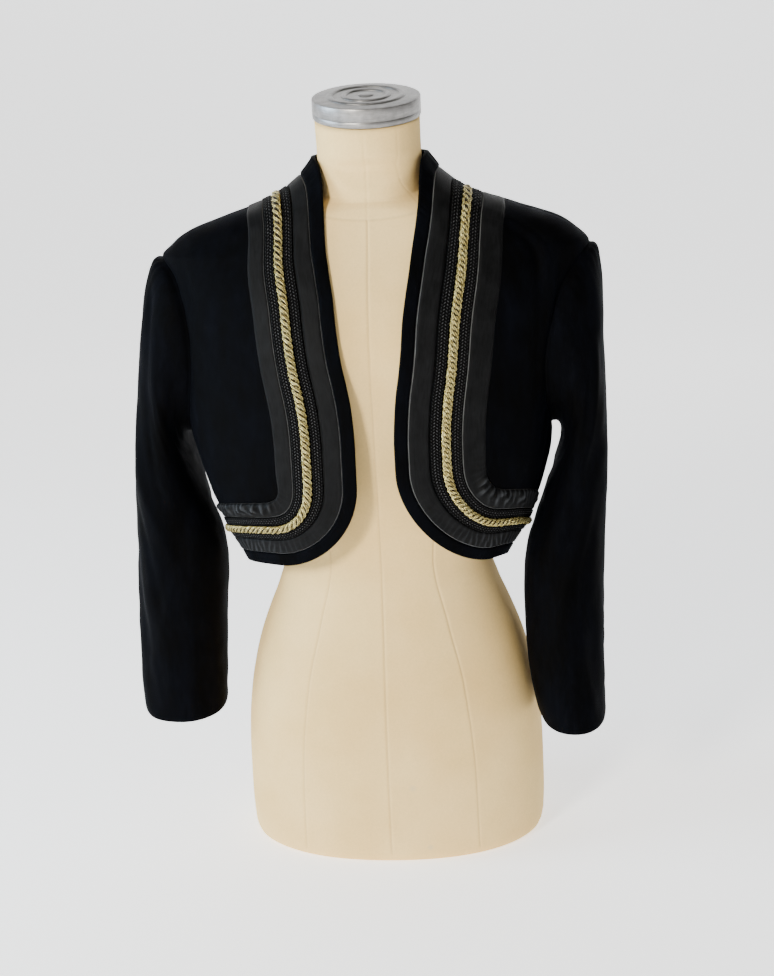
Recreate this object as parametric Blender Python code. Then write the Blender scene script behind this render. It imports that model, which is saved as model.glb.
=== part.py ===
"""Velvet bolero jacket worn by a limbless dress form.

Units are metres. +Z is up, the form faces -Y, and the origin is the middle of the form's
flat underside. Left and right are the wearer's, so the right side lies at -X.

The jacket's body is one smooth surface around the form. A place on it is an angle from the
centre front (0 at the front, 90 degrees at the side seam and along the shoulder, 180 at the
back) and a height. Panels are laid out flat as (run, height), where run is the distance along
the horizontal section from the centre front or the centre back.
"""

import math

import bpy
import numpy as np

RIGHT, LEFT = -1, 1
SIDE_NAMES = {RIGHT: "right", LEFT: "left"}

# Cloth and seams
CLOTH = 0.0018
SEAM_GAP = 0.0003
HALF_GAP = SEAM_GAP / 2
FORM_CLEARANCE = 0.0002

# Body sections: half widths to the side seam and the shoulder ridge, depths to front and back
BODY_SECTIONS = (
    # height, right_half, left_half, front, back, squareness
    (0.312, 0.146, 0.127, 0.120, 0.113, 3.0),
    (0.332, 0.151, 0.1345, 0.121, 0.111, 3.0),
    (0.350, 0.160, 0.1450, 0.122, 0.109, 2.95),
    (0.372, 0.1735, 0.1600, 0.1235, 0.108, 2.85),
    (0.395, 0.184, 0.1700, 0.125, 0.108, 2.8),
    (0.420, 0.195, 0.1785, 0.127, 0.108, 2.7),
    (0.450, 0.2045, 0.1865, 0.129, 0.110, 2.55),
    (0.475, 0.211, 0.189, 0.130, 0.113, 2.45),
    (0.520, 0.219, 0.197, 0.130, 0.118, 2.35),
    (0.560, 0.2235, 0.207, 0.127, 0.121, 2.3),
    (0.600, 0.2265, 0.218, 0.119, 0.120, 2.3),
    (0.640, 0.2295, 0.228, 0.104, 0.111, 2.3),
    (0.672, 0.2325, 0.2325, 0.088, 0.099, 2.3),
    (0.6865, 0.219, 0.219, 0.081, 0.092, 2.3),
    (0.699, 0.201, 0.201, 0.076, 0.087, 2.3),
    (0.712, 0.1645, 0.1645, 0.0715, 0.082, 2.3),
    (0.725, 0.124, 0.124, 0.068, 0.077, 2.3),
    (0.738, 0.0955, 0.0955, 0.0655, 0.073, 2.3),
    (0.7505, 0.0785, 0.0785, 0.0635, 0.070, 2.3),
    (0.760, 0.0690, 0.0690, 0.062, 0.068, 2.3),
    (0.772, 0.0605, 0.0605, 0.0605, 0.067, 2.3),
    (0.790, 0.0560, 0.0560, 0.060, 0.066, 2.3),
)
RIGHT_HALF, LEFT_HALF, FRONT, BACK, SQUARENESS = range(1, 6)

SHOULDER_TIP_HEIGHT = 0.672
UNDERARM_HEIGHT = 0.475
NECK_HEIGHT = 0.772
ARMHOLE_FRONT_DEPTH = 0.076
ARMHOLE_BACK_DEPTH = 0.066

# Opening edge of each front: distance from the middle at each height
EDGE_RIGHT = (
    # height, distance
    (0.440, 0.0197),
    (0.480, 0.0195),
    (0.518, 0.0215),
    (0.544, 0.0255),
    (0.569, 0.0305),
    (0.601, 0.0345),
    (0.632, 0.0375),
    (0.657, 0.0415),
    (0.682, 0.0450),
    (0.718, 0.0465),
    (0.742, 0.0475),
    (0.757, 0.0500),
    (0.767, 0.0548),
    (0.772, 0.0605),
)
EDGE_LEFT = (
    # height, distance
    (0.440, 0.0240),
    (0.480, 0.0238),
    (0.510, 0.0255),
    (0.530, 0.0275),
    (0.555, 0.0315),
    (0.580, 0.0345),
    (0.605, 0.0365),
    (0.630, 0.0400),
    (0.654, 0.0440),
    (0.678, 0.0475),
    (0.702, 0.0515),
    (0.726, 0.0545),
    (0.750, 0.0560),
    (0.765, 0.0575),
    (0.772, 0.0605),
)
EDGES = {RIGHT: EDGE_RIGHT, LEFT: EDGE_LEFT}

# Hem and the round lower corner of each front
CORNER_RADIUS = {RIGHT: 0.090, LEFT: 0.104}
CORNER_HEIGHT = {RIGHT: 0.437, LEFT: 0.449}
CORNER_SQUARENESS = {RIGHT: 2.0, LEFT: 1.82}
SIDE_HEM_HEIGHT = {RIGHT: 0.328, LEFT: 0.323}
BACK_HEM_DROP = 0.004

# Border laid on each front, in order from the edge inwards. Along the hem each piece is eased
# in to this share of its width.
BORDER = (
    # name, right_width, left_width, thickness, hem_share
    ("edge_band", 0.0130, 0.0130, 0.0016, 1.0),
    ("inner_ribbon", 0.0205, 0.0225, 0.0010, 0.78),
    ("inner_braid", 0.0120, 0.0125, 0.0022, 0.66),
    ("gold_cord", 0.0095, 0.0095, 0.0052, 0.84),
    ("outer_braid", 0.0115, 0.0120, 0.0022, 0.80),
    ("outer_ribbon", 0.0195, 0.0260, 0.0010, 0.85),
)

# The band is this much wider where it ends at the shoulder seam
SHOULDER_EASE = {RIGHT: 0.012, LEFT: 0.008}
CORD_PITCH = 0.0068
CORD_SECTIONS_PER_PITCH = 3
CORD_LIFT = 0.0002
CORD_END_TAPER = 0.6
CORD_RIDGES = 4

# Mesh counts
HEM_CELLS = 5
CORNER_CELLS = 6
EDGE_CELLS = 12
SEAM_CELLS = 3
ARMHOLE_CELLS = 12
BACK_CELLS = 14
FIELD_CELLS = HEM_CELLS + CORNER_CELLS // 2
BORDER_FAN_HEIGHT = 0.665
BORDER_FAN_POWER = 0.7
EDGE_CROWDING = 1.35
QUARTER_STEPS = 90
LENGTH_STEPS = 200
SMOOTHEST_EDGE = math.radians(40)

# Steps over which a surface's slope is taken, in radians and metres
SLOPE_TURN = 0.004
SLOPE_RISE = 0.0008

# Sleeve rings from the armhole to the cuff. Inner is the seam side beside the body, outer the
# far side; distances are from the middle of the form.
SLEEVE_RIGHT = (
    # inner, inner_height, outer, outer_height, middle_y, half_depth
    (0.2110, 0.4750, 0.2325, 0.6720, 0.002, 0.0720),
    (0.2150, 0.4764, 0.2400, 0.6690, 0.002, 0.0735),
    (0.2180, 0.4750, 0.2465, 0.6612, 0.002, 0.0748),
    (0.2195, 0.4710, 0.2515, 0.6480, 0.002, 0.0755),
    (0.2198, 0.4650, 0.2555, 0.6290, 0.001, 0.0752),
    (0.2185, 0.4570, 0.2590, 0.6040, 0.000, 0.0742),
    (0.2160, 0.4470, 0.2625, 0.5720, -0.001, 0.0725),
    (0.2125, 0.4350, 0.2660, 0.5370, -0.002, 0.0705),
    (0.2080, 0.4210, 0.2700, 0.5010, -0.004, 0.0685),
    (0.2020, 0.4050, 0.2745, 0.4640, -0.006, 0.0665),
    (0.1945, 0.3860, 0.2785, 0.4280, -0.008, 0.0640),
    (0.1865, 0.3640, 0.2815, 0.3940, -0.010, 0.0615),
    (0.1820, 0.3380, 0.2838, 0.3590, -0.012, 0.0590),
    (0.1825, 0.3090, 0.2852, 0.3230, -0.015, 0.0570),
    (0.1850, 0.2790, 0.2862, 0.2880, -0.018, 0.0550),
    (0.1870, 0.2480, 0.2868, 0.2540, -0.020, 0.0530),
    (0.1885, 0.2190, 0.2874, 0.2220, -0.022, 0.0510),
    (0.1898, 0.1940, 0.2876, 0.1950, -0.024, 0.0495),
    (0.1908, 0.1750, 0.2870, 0.1750, -0.025, 0.0485),
    (0.1915, 0.1600, 0.2858, 0.1600, -0.026, 0.0480),
)
SLEEVE_LEFT = (
    # inner, inner_height, outer, outer_height, middle_y, half_depth
    (0.1890, 0.4750, 0.2325, 0.6720, 0.002, 0.0720),
    (0.1928, 0.4766, 0.2380, 0.6685, 0.002, 0.0735),
    (0.1958, 0.4750, 0.2420, 0.6590, 0.002, 0.0748),
    (0.1975, 0.4708, 0.2445, 0.6445, 0.002, 0.0755),
    (0.1980, 0.4640, 0.2458, 0.6240, 0.001, 0.0752),
    (0.1975, 0.4560, 0.2460, 0.5980, 0.000, 0.0742),
    (0.1955, 0.4460, 0.2463, 0.5660, -0.002, 0.0725),
    (0.1918, 0.4340, 0.2472, 0.5310, -0.004, 0.0705),
    (0.1870, 0.4200, 0.2482, 0.4950, -0.007, 0.0685),
    (0.1808, 0.4040, 0.2480, 0.4580, -0.010, 0.0662),
    (0.1738, 0.3850, 0.2472, 0.4220, -0.014, 0.0638),
    (0.1650, 0.3630, 0.2456, 0.3870, -0.018, 0.0612),
    (0.1570, 0.3370, 0.2440, 0.3520, -0.022, 0.0590),
    (0.1540, 0.3080, 0.2428, 0.3170, -0.027, 0.0572),
    (0.1535, 0.2770, 0.2420, 0.2830, -0.033, 0.0558),
    (0.1540, 0.2450, 0.2412, 0.2490, -0.039, 0.0545),
    (0.1560, 0.2140, 0.2406, 0.2160, -0.044, 0.0535),
    (0.1595, 0.1870, 0.2405, 0.1880, -0.048, 0.0525),
    (0.1640, 0.1670, 0.2408, 0.1670, -0.051, 0.0520),
    (0.1690, 0.1520, 0.2412, 0.1520, -0.053, 0.0515),
)
SLEEVES = {RIGHT: SLEEVE_RIGHT, LEFT: SLEEVE_LEFT}
SLEEVE_SETTLE_RINGS = 6
SLEEVE_FOLD_START_RINGS = 4.0
SLEEVE_SQUARENESS = 2.15
CUFF_DROP = 0.008
CUFF_DROP_RINGS = 6

# Largest folds. A negative depth is a trough, a positive one a ridge.
BODY_FOLDS = {
    RIGHT: (
        # angle, height, half_angle, half_height, depth, lean in degrees a metre
        (74.0, 0.600, 7.0, 0.055, -0.0045, -60.0),
        (62.0, 0.470, 6.0, 0.060, 0.0035, 40.0),
        (78.0, 0.425, 5.0, 0.045, -0.0040, 30.0),
        (112.0, 0.470, 8.0, 0.070, -0.0035, -50.0),
        (146.0, 0.450, 7.0, 0.060, 0.0030, 30.0),
    ),
    LEFT: (
        # angle, height, half_angle, half_height, depth, lean in degrees a metre
        (66.0, 0.590, 6.0, 0.060, -0.0040, -80.0),
        (58.0, 0.480, 6.0, 0.055, 0.0030, 60.0),
        (76.0, 0.440, 5.0, 0.040, -0.0035, 30.0),
        (116.0, 0.480, 8.0, 0.065, -0.0035, -40.0),
        (150.0, 0.460, 7.0, 0.055, 0.0030, 30.0),
    ),
}
SLEEVE_FOLDS = {
    RIGHT: (
        # ring, angle, half_rings, half_angle, depth, lean in degrees a ring
        (5.5, 62.0, 2.6, 20.0, -0.0050, 6.0),
        (9.5, 48.0, 2.4, 17.0, 0.0045, 9.0),
        (11.5, 100.0, 2.2, 18.0, -0.0055, -10.0),
        (14.5, 35.0, 2.6, 16.0, -0.0045, 7.0),
        (12.5, 232.0, 2.4, 20.0, -0.0050, 9.0),
        (7.0, 300.0, 2.6, 20.0, -0.0045, -7.0),
    ),
    LEFT: (
        # ring, angle, half_rings, half_angle, depth, lean in degrees a ring
        (5.0, 70.0, 2.4, 20.0, -0.0045, 6.0),
        (8.8, 40.0, 2.6, 17.0, 0.0035, -8.0),
        (11.0, 84.0, 2.0, 18.0, -0.0050, 9.0),
        (15.0, 50.0, 2.4, 16.0, -0.0035, -6.0),
        (12.0, 236.0, 2.4, 20.0, -0.0050, -9.0),
        (7.5, 296.0, 2.6, 20.0, -0.0045, 7.0),
    ),
}

# Dress form: covered body and neck
FORM_SQUARENESS = 2.2
FORM_SIDES = 36
FORM_SECTIONS = (
    # height, half_width, front, back, centre_y, tilt in degrees
    (0.0000, 0.1600, 0.1120, 0.1080, 0.000, 0.0),
    (0.0040, 0.1660, 0.1170, 0.1130, 0.000, 0.0),
    (0.0140, 0.1690, 0.1195, 0.1160, 0.000, 0.0),
    (0.0500, 0.1705, 0.1210, 0.1190, 0.000, 0.0),
    (0.1000, 0.1700, 0.1200, 0.1200, 0.000, 0.0),
    (0.1400, 0.1680, 0.1180, 0.1180, 0.000, 0.0),
    (0.1750, 0.1640, 0.1140, 0.1130, 0.000, 0.0),
    (0.2100, 0.1570, 0.1080, 0.1060, 0.000, 0.0),
    (0.2400, 0.1485, 0.1020, 0.0980, 0.000, 0.0),
    (0.2700, 0.1370, 0.0960, 0.0890, 0.000, 0.0),
    (0.3000, 0.1245, 0.0915, 0.0815, 0.000, 0.0),
    (0.3400, 0.1135, 0.0880, 0.0780, 0.000, 0.0),
    (0.3800, 0.1165, 0.0900, 0.0800, 0.000, 0.0),
    (0.4300, 0.1290, 0.0970, 0.0870, 0.000, 0.0),
    (0.4800, 0.1420, 0.1030, 0.0960, 0.000, 0.0),
    (0.5300, 0.1520, 0.1080, 0.1040, 0.000, 0.0),
    (0.5800, 0.1610, 0.1120, 0.1100, 0.000, 0.0),
    (0.6200, 0.1700, 0.1060, 0.1090, 0.000, 0.0),
    (0.6500, 0.1750, 0.0950, 0.1020, 0.000, 0.0),
    (0.6750, 0.1720, 0.0840, 0.0940, 0.000, 0.0),
    (0.6950, 0.1580, 0.0760, 0.0860, 0.000, 0.0),
    (0.7100, 0.1380, 0.0700, 0.0780, 0.000, 1.0),
    (0.7200, 0.1150, 0.0650, 0.0720, -0.001, 2.5),
    (0.7270, 0.0900, 0.0600, 0.0650, -0.002, 4.0),
    (0.7320, 0.0700, 0.0570, 0.0590, -0.003, 6.0),
    (0.7380, 0.0585, 0.0560, 0.0560, -0.004, 8.0),
    (0.7560, 0.0558, 0.0550, 0.0550, -0.008, 10.0),
    (0.7820, 0.0553, 0.0548, 0.0548, -0.013, 12.0),
    (0.8120, 0.0556, 0.0550, 0.0550, -0.019, 12.4),
)
BUST_X = 0.086
BUST_HEIGHT = 0.535
BUST_RISE = 0.024
BUST_SPREAD = 0.042
# The form is drawn in under the jacket from this height up to the neck
FIT_LOW = 0.45
FIT_LOW_FADE = 0.04
FIT_HIGH_FADE = 0.012
FIT_SOFTNESS = 0.001

# Metal cap on the neck
CAP_RADIUS = 0.0575
CAP_BAND = 0.0205
CAP_EDGE = 0.0012
CAP_SIDES = 32
CAP_TILT = math.radians(12.4)
CAP_ROLL = math.radians(1.0)
CAP_RINGS = (
    # radius, rise above the band's top edge
    (0.0520, 0.0004),
    (0.0400, 0.0020),
    (0.0375, 0.0006),
    (0.0250, 0.0020),
    (0.0225, 0.0008),
    (0.0100, 0.0024),
    (0.0070, 0.0010),
)


def smooth_column(rows, column, places):
    """Value of one column at each place of the first column, without overshoot."""
    known = np.array([row[0] for row in rows], float)
    values = np.array([row[column] for row in rows], float)
    spans = np.diff(known)
    slopes = np.diff(values) / spans
    tangents = np.zeros(len(values))
    tangents[0] = slopes[0]
    tangents[-1] = slopes[-1]
    same_way = slopes[:-1] * slopes[1:] > 0
    before = slopes[:-1][same_way]
    after = slopes[1:][same_way]
    tangents[1:-1][same_way] = 2 * before * after / (before + after)
    places = np.clip(np.asarray(places, float), known[0], known[-1])
    cell = np.clip(np.searchsorted(known, places, side="right") - 1, 0, len(spans) - 1)
    part = (places - known[cell]) / spans[cell]
    square, cube = part**2, part**3
    return (
        (2 * cube - 3 * square + 1) * values[cell]
        + (cube - 2 * square + part) * spans[cell] * tangents[cell]
        + (3 * square - 2 * cube) * values[cell + 1]
        + (cube - square) * spans[cell] * tangents[cell + 1]
    )


def smooth_step(value):
    """0 below 0, 1 above 1, with a soft start and end."""
    value = np.clip(value, 0.0, 1.0)
    return value * value * (3 - 2 * value)


def unit(vectors):
    """The same directions with a length of 1."""
    return vectors / np.linalg.norm(vectors, axis=-1, keepdims=True)


def body_sizes(side, heights):
    """Half width, front depth, back depth and squareness of the section at each height."""
    half = RIGHT_HALF if side == RIGHT else LEFT_HALF
    columns = (half, FRONT, BACK, SQUARENESS)
    return tuple(smooth_column(BODY_SECTIONS, column, heights) for column in columns)


def body_base(side, angles, heights):
    """Points of the jacket's outer surface before its folds."""
    half, front, back, squareness = body_sizes(side, heights)
    power = 2 / squareness
    across = np.abs(np.sin(angles)) ** power
    deep = np.abs(np.cos(angles)) ** power
    y = np.where(np.cos(angles) >= 0, -front * deep, back * deep)
    return np.stack([side * half * across, y, heights + 0 * y], -1)


def body_fold(side, angles, heights):
    """How far the folds lift or sink the surface."""
    degrees = np.degrees(angles)
    lift = 0 * degrees
    for angle, height, half_angle, half_height, depth, lean in BODY_FOLDS[side]:
        away = (degrees - angle - lean * (heights - height)) / half_angle
        along = (heights - height) / half_height
        lift = lift + depth * np.exp(-away**2 - along**2)
    return lift


def surface_normals(point_at, angles, heights, side):
    """Outward directions of a surface given by angle and height."""
    turn, rise = SLOPE_TURN, SLOPE_RISE
    along = point_at(side, angles + turn, heights) - point_at(side, angles - turn, heights)
    up = point_at(side, angles, heights + rise) - point_at(side, angles, heights - rise)
    return unit(np.cross(along, up)) * side


def body_at(side, angles, heights):
    """Points of the jacket's outer surface, folds included."""
    angles, heights = np.broadcast_arrays(np.asarray(angles, float), np.asarray(heights, float))
    base = body_base(side, angles, heights)
    lift = body_fold(side, angles, heights)
    return base + surface_normals(body_base, angles, heights, side) * lift[..., None]


def body_normals(side, angles, heights):
    """Outward directions of the jacket's outer surface, folds included."""
    angles, heights = np.broadcast_arrays(np.asarray(angles, float), np.asarray(heights, float))
    return surface_normals(body_at, angles, heights, side)


def quarter_runs(side, heights, from_back):
    """Angles of a quarter section, and the distance along it at each of them."""
    turns = np.linspace(0, math.pi / 2, QUARTER_STEPS + 1)
    angles = math.pi - turns if from_back else turns
    points = body_base(side, angles[None, :], np.asarray(heights, float)[:, None])
    steps = np.linalg.norm(np.diff(points, axis=1), axis=2)
    runs = np.concatenate([np.zeros((len(steps), 1)), np.cumsum(steps, axis=1)], axis=1)
    return angles, runs


def girth(side, height, from_back=False):
    """Distance from the centre front or back to the side seam or shoulder ridge."""
    return quarter_runs(side, [height], from_back)[1][0, -1]


def body_angles(side, runs, heights, from_back=False):
    """Angle of each place given by its run and height."""
    angles, table = quarter_runs(side, heights, from_back)
    return np.array([np.interp(run, row, angles) for run, row in zip(runs, table)])


def run_of_distance(side, distance, height):
    """Run of the front surface's place that lies this far from the middle."""
    half, _, _, squareness = body_sizes(side, height)
    angle = math.asin(min(1.0, distance / half) ** (squareness / 2))
    angles, table = quarter_runs(side, [height], False)
    return np.interp(angle, angles, table[0])


def border_steps(side, at_hem=False):
    """Distances of the border's seams from the free edge."""
    column = 1 if side == RIGHT else 2
    widths = [row[column] * (row[4] if at_hem else 1.0) for row in BORDER]
    return np.concatenate([[0.0], np.cumsum(widths)])


def heights_along(side, start, end, distances):
    """Heights on the side seam or shoulder ridge at these distances from its start, and its length."""
    heights = np.linspace(start, end, LENGTH_STEPS + 1)
    halves = body_sizes(side, heights)[0]
    steps = np.hypot(np.diff(halves), np.diff(heights))
    along = np.concatenate([[0.0], np.cumsum(steps)])
    return np.interp(distances, along, heights), along[-1]


def border_side_heights(side):
    """Heights of the border's seams where they end at the side seam."""
    steps = border_steps(side, at_hem=True)
    return heights_along(side, SIDE_HEM_HEIGHT[side], UNDERARM_HEIGHT, steps)[0]


def ridge_heights(side, distances):
    """Heights along the shoulder ridge at these distances from the neck, and its length."""
    return heights_along(side, NECK_HEIGHT, SHOULDER_TIP_HEIGHT, distances)


def shoulder_steps(side):
    """Distances of the border's seams from the neck, along the shoulder seam."""
    steps = border_steps(side)
    steps[1:] += SHOULDER_EASE[side]
    return steps


def seam_place(side, height, from_back=False):
    """(run, height) of a place on the side seam or the shoulder seam, half a gap back."""
    return np.array([girth(side, height, from_back) - HALF_GAP, height])


def armhole_places(side, from_back, shrink=0.0):
    """(run, height) along half the armhole, from the shoulder tip to the underarm."""
    middle = (SHOULDER_TIP_HEIGHT + UNDERARM_HEIGHT) / 2
    reach = (SHOULDER_TIP_HEIGHT - UNDERARM_HEIGHT) / 2 - shrink
    depth = (ARMHOLE_BACK_DEPTH if from_back else ARMHOLE_FRONT_DEPTH) - shrink
    places = []
    for turn in np.linspace(0, math.pi, ARMHOLE_CELLS + 1):
        height = middle + reach * math.cos(turn)
        run, _ = seam_place(side, height, from_back)
        places.append((run - depth * math.sin(turn), height))
    return np.array(places)


def edge_places(side):
    """(run, height) along a front's free edge, from the side seam round the corner to the neck."""
    radius, centre_height = CORNER_RADIUS[side], CORNER_HEIGHT[side]
    edge = EDGES[side]
    start_distance = float(smooth_column(edge, 1, centre_height))
    centre_run = run_of_distance(side, start_distance, centre_height) + radius
    side_height = SIDE_HEM_HEIGHT[side]
    side_run = seam_place(side, side_height)[0]
    bottom = centre_height - radius
    hem = [
        (
            side_run + (centre_run - side_run) * part,
            side_height + (bottom - side_height) * math.sin(part * math.pi / 2),
        )
        for part in np.linspace(0, 1, HEM_CELLS + 1)[:-1]
    ]
    power = 2 / CORNER_SQUARENESS[side]
    corner = [
        (
            centre_run - radius * math.sin(turn) ** power,
            centre_height - radius * math.cos(turn) ** power,
        )
        for turn in np.linspace(0, math.pi / 2, CORNER_CELLS + 1)[:-1]
    ]
    heights = np.concatenate(
        [
            np.linspace(centre_height, edge[-3][0], 61)[:-1],
            edge[-1][0] - (edge[-1][0] - edge[-3][0]) * np.linspace(1, 0, 61) ** 2,
        ]
    )
    distances = smooth_column(edge, 1, heights)
    fine = np.array([(run_of_distance(side, d, h), h) for d, h in zip(distances, heights)])
    fine[-1] = seam_place(side, NECK_HEIGHT)
    steps = np.linalg.norm(np.diff(fine, axis=0), axis=1)
    along = np.concatenate([[0.0], np.cumsum(steps)])
    parts = np.linspace(0, 1, EDGE_CELLS + 1)
    wanted = along[-1] * (EDGE_CROWDING * parts + (1 - EDGE_CROWDING) * parts**2)
    upright = [tuple(np.interp(w, along, fine[:, k]) for k in range(2)) for w in wanted]
    return np.array(hem + corner + upright)


def border_grid(side):
    """(run, height) of the border: one row for each step along the edge, one column a seam."""
    edge = edge_places(side)
    tangents = np.gradient(edge, axis=0)
    inward = unit(np.stack([tangents[:, 1], -tangents[:, 0]], -1))
    full, eased = border_steps(side), border_steps(side, at_hem=True)
    side_seam = np.array([seam_place(side, height) for height in border_side_heights(side)])
    shoulder_heights, _ = ridge_heights(side, shoulder_steps(side))
    shoulder = np.array([seam_place(side, height) for height in shoulder_heights])
    steps = np.linalg.norm(np.diff(edge, axis=0), axis=1)
    along = np.concatenate([[0.0], np.cumsum(steps)])
    fan_start = int(np.argmax(edge[:, 1] > BORDER_FAN_HEIGHT))
    rows = []
    for number, (place, direction) in enumerate(zip(edge, inward)):
        hem_share = float(smooth_step(1 - number / HEM_CELLS))
        past = (along[number] - along[fan_start]) / (along[-1] - along[fan_start])
        neck_share = min(max(past, 0.0), 1.0) ** BORDER_FAN_POWER
        heading = inward[fan_start] if number > fan_start else direction
        ease = smooth_step((HEM_CELLS + CORNER_CELLS - number) / CORNER_CELLS)
        widths = full + (eased - full) * ease
        rows.append(
            place
            + (1 - hem_share - neck_share) * widths[:, None] * heading
            + hem_share * (side_seam - side_seam[0])
            + neck_share * (shoulder - shoulder[0])
        )
    return np.array(rows)


def coons_patch(bottom, top, left, right):
    """Places inside four boundary lines, one row for each step up."""
    across = np.linspace(0, 1, len(bottom))[None, :, None]
    upward = np.linspace(0, 1, len(left))[:, None, None]
    sides = (1 - across) * left[:, None] + across * right[:, None]
    ends = (1 - upward) * bottom[None] + upward * top[None]
    corners = (
        (1 - across) * (1 - upward) * bottom[0]
        + across * (1 - upward) * bottom[-1]
        + (1 - across) * upward * top[0]
        + across * upward * top[-1]
    )
    return sides + ends - corners


def side_line(side, from_back):
    """(run, height) up the side seam and the armhole above the border."""
    start = border_side_heights(side)[-1]
    heights = np.linspace(start, UNDERARM_HEIGHT, SEAM_CELLS + 1)[:-1]
    seam = np.array([seam_place(side, height, from_back) for height in heights])
    return np.concatenate([seam, armhole_places(side, from_back)[::-1]])


def shoulder_line(side, from_back):
    """(run, height) along the shoulder seam from the tip to the border."""
    _, length = ridge_heights(side, 0.0)
    distances = np.linspace(length, shoulder_steps(side)[-1], FIELD_CELLS + 1)
    heights, _ = ridge_heights(side, distances)
    heights[0] = SHOULDER_TIP_HEIGHT
    return np.array([seam_place(side, height, from_back) for height in heights])


def grid_triangles(index):
    """Two triangles for each cell of a grid of point numbers."""
    triangles = []
    for row in range(index.shape[0] - 1):
        for column in range(index.shape[1] - 1):
            a, b = index[row, column], index[row + 1, column]
            c, d = index[row + 1, column + 1], index[row, column + 1]
            triangles += [(a, b, c), (a, c, d)]
    return triangles


def closed_wall(outer, normals, triangles, thickness):
    """Points and triangles of a wall whose outer side is given, closed along its free edges."""
    triangles = np.array(triangles)
    corners = outer[triangles]
    facing = np.cross(corners[:, 1] - corners[:, 0], corners[:, 2] - corners[:, 0])
    if (facing * normals[triangles].sum(axis=1)).sum() < 0:
        triangles = triangles[:, ::-1]
    count = len(outer)
    directed = {}
    for a, b, c in triangles:
        for start, end in ((a, b), (b, c), (c, a)):
            directed[(start, end)] = True
    rim = []
    for start, end in directed:
        if (end, start) not in directed:
            rim += [(end, start, start + count), (end, start + count, end + count)]
    inner = triangles[:, ::-1] + count
    points = np.concatenate([outer, outer - normals * thickness])
    return points, np.concatenate([triangles, inner, np.array(rim)])


def material(name, colour, roughness, metallic=0.0):
    """A Principled material."""
    made = bpy.data.materials.new(name)
    made.use_nodes = True
    shader = made.node_tree.nodes["Principled BSDF"]
    shader.inputs["Base Color"].default_value = (*colour, 1.0)
    shader.inputs["Roughness"].default_value = roughness
    shader.inputs["Metallic"].default_value = metallic
    made.diffuse_color = (*colour, 1.0)
    return made


def add_object(name, points, triangles, finish):
    """A smooth mesh object with one material."""
    mesh = bpy.data.meshes.new(name)
    mesh.from_pydata([tuple(map(float, p)) for p in points], [], [tuple(map(int, t)) for t in triangles])
    mesh.validate()
    mesh.shade_smooth()
    mesh.set_sharp_from_angle(angle=SMOOTHEST_EDGE)
    mesh.materials.append(finish)
    made = bpy.data.objects.new(name, mesh)
    bpy.context.scene.collection.objects.link(made)
    return made


def place_on_body(side, places, from_back=False):
    """Outer points and outward directions of places given as (run, height)."""
    angles = body_angles(side, places[:, 0], places[:, 1], from_back)
    return body_at(side, angles, places[:, 1]), body_normals(side, angles, places[:, 1])


def build_front(side, finish):
    """One front. Gives back its border's outer points and directions for what lies on it."""
    border = border_grid(side)
    rows, columns = border.shape[:2]
    turn_row = FIELD_CELLS
    inner_line = border[:, -1]
    field = coons_patch(
        bottom=inner_line[: turn_row + 1][::-1],
        top=shoulder_line(side, False)[::-1],
        left=inner_line[turn_row:],
        right=side_line(side, False),
    )
    border_index = np.arange(rows * columns).reshape(rows, columns)
    places = [border.reshape(-1, 2)]
    field_index = np.zeros(field.shape[:2], int)
    field_index[0, :] = border_index[: turn_row + 1, -1][::-1]
    field_index[:, 0] = border_index[turn_row:, -1]
    inside = field[1:, 1:]
    field_index[1:, 1:] = rows * columns + np.arange(inside.size // 2).reshape(inside.shape[:2])
    places.append(inside.reshape(-1, 2))
    points, normals = place_on_body(side, np.concatenate(places))
    triangles = grid_triangles(border_index) + grid_triangles(field_index)
    add_object(f"front_{SIDE_NAMES[side]}", *closed_wall(points, normals, triangles, CLOTH), finish)
    return points[border_index], normals[border_index]


def back_side_line(side):
    """(run, height) up one side of the back, from the hem to the neck."""
    heights = border_side_heights(side)[:-1]
    hem = np.array([seam_place(side, height, True) for height in heights])
    neck_heights, _ = ridge_heights(side, shoulder_steps(side)[::-1])
    neck = np.array([seam_place(side, height, True) for height in neck_heights])
    return np.concatenate([hem, side_line(side, True)[:-1], shoulder_line(side, True)[:-1], neck])


def build_back(finish):
    """The back. Gives back the rows of its neck edge for the band that lies on it."""
    right = back_side_line(RIGHT) * (-1, 1)
    left = back_side_line(LEFT)
    part = np.linspace(0, 1, BACK_CELLS + 1)
    hem = right[0] + (left[0] - right[0]) * part[:, None]
    hem[:, 1] -= BACK_HEM_DROP * np.sin(math.pi * part)
    neck = right[-1] + (left[-1] - right[-1]) * part[:, None]
    places = coons_patch(hem, neck, right, left)
    points = np.zeros((*places.shape[:2], 3))
    normals = np.zeros_like(points)
    for side in (RIGHT, LEFT):
        chosen = places[..., 0] < 0 if side == RIGHT else places[..., 0] >= 0
        flat = places[chosen] * (side, 1)
        points[chosen], normals[chosen] = place_on_body(side, flat, True)
    index = np.arange(points[..., 0].size).reshape(points.shape[:2])
    wall = closed_wall(points.reshape(-1, 3), normals.reshape(-1, 3), grid_triangles(index), CLOTH)
    add_object("back", *wall, finish)
    return points[-2:], normals[-2:]


def ring_normals(rings):
    """Outward directions on a tube of rings, each ring a closed loop of points."""
    around = np.roll(rings, -1, axis=1) - np.roll(rings, 1, axis=1)
    along = np.gradient(rings, axis=0)
    normals = unit(np.cross(around, along))
    middle = rings.mean(axis=1, keepdims=True)
    outward = ((rings - middle) * normals).sum(axis=-1).mean(axis=1)
    return normals * np.sign(outward)[:, None, None]


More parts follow.
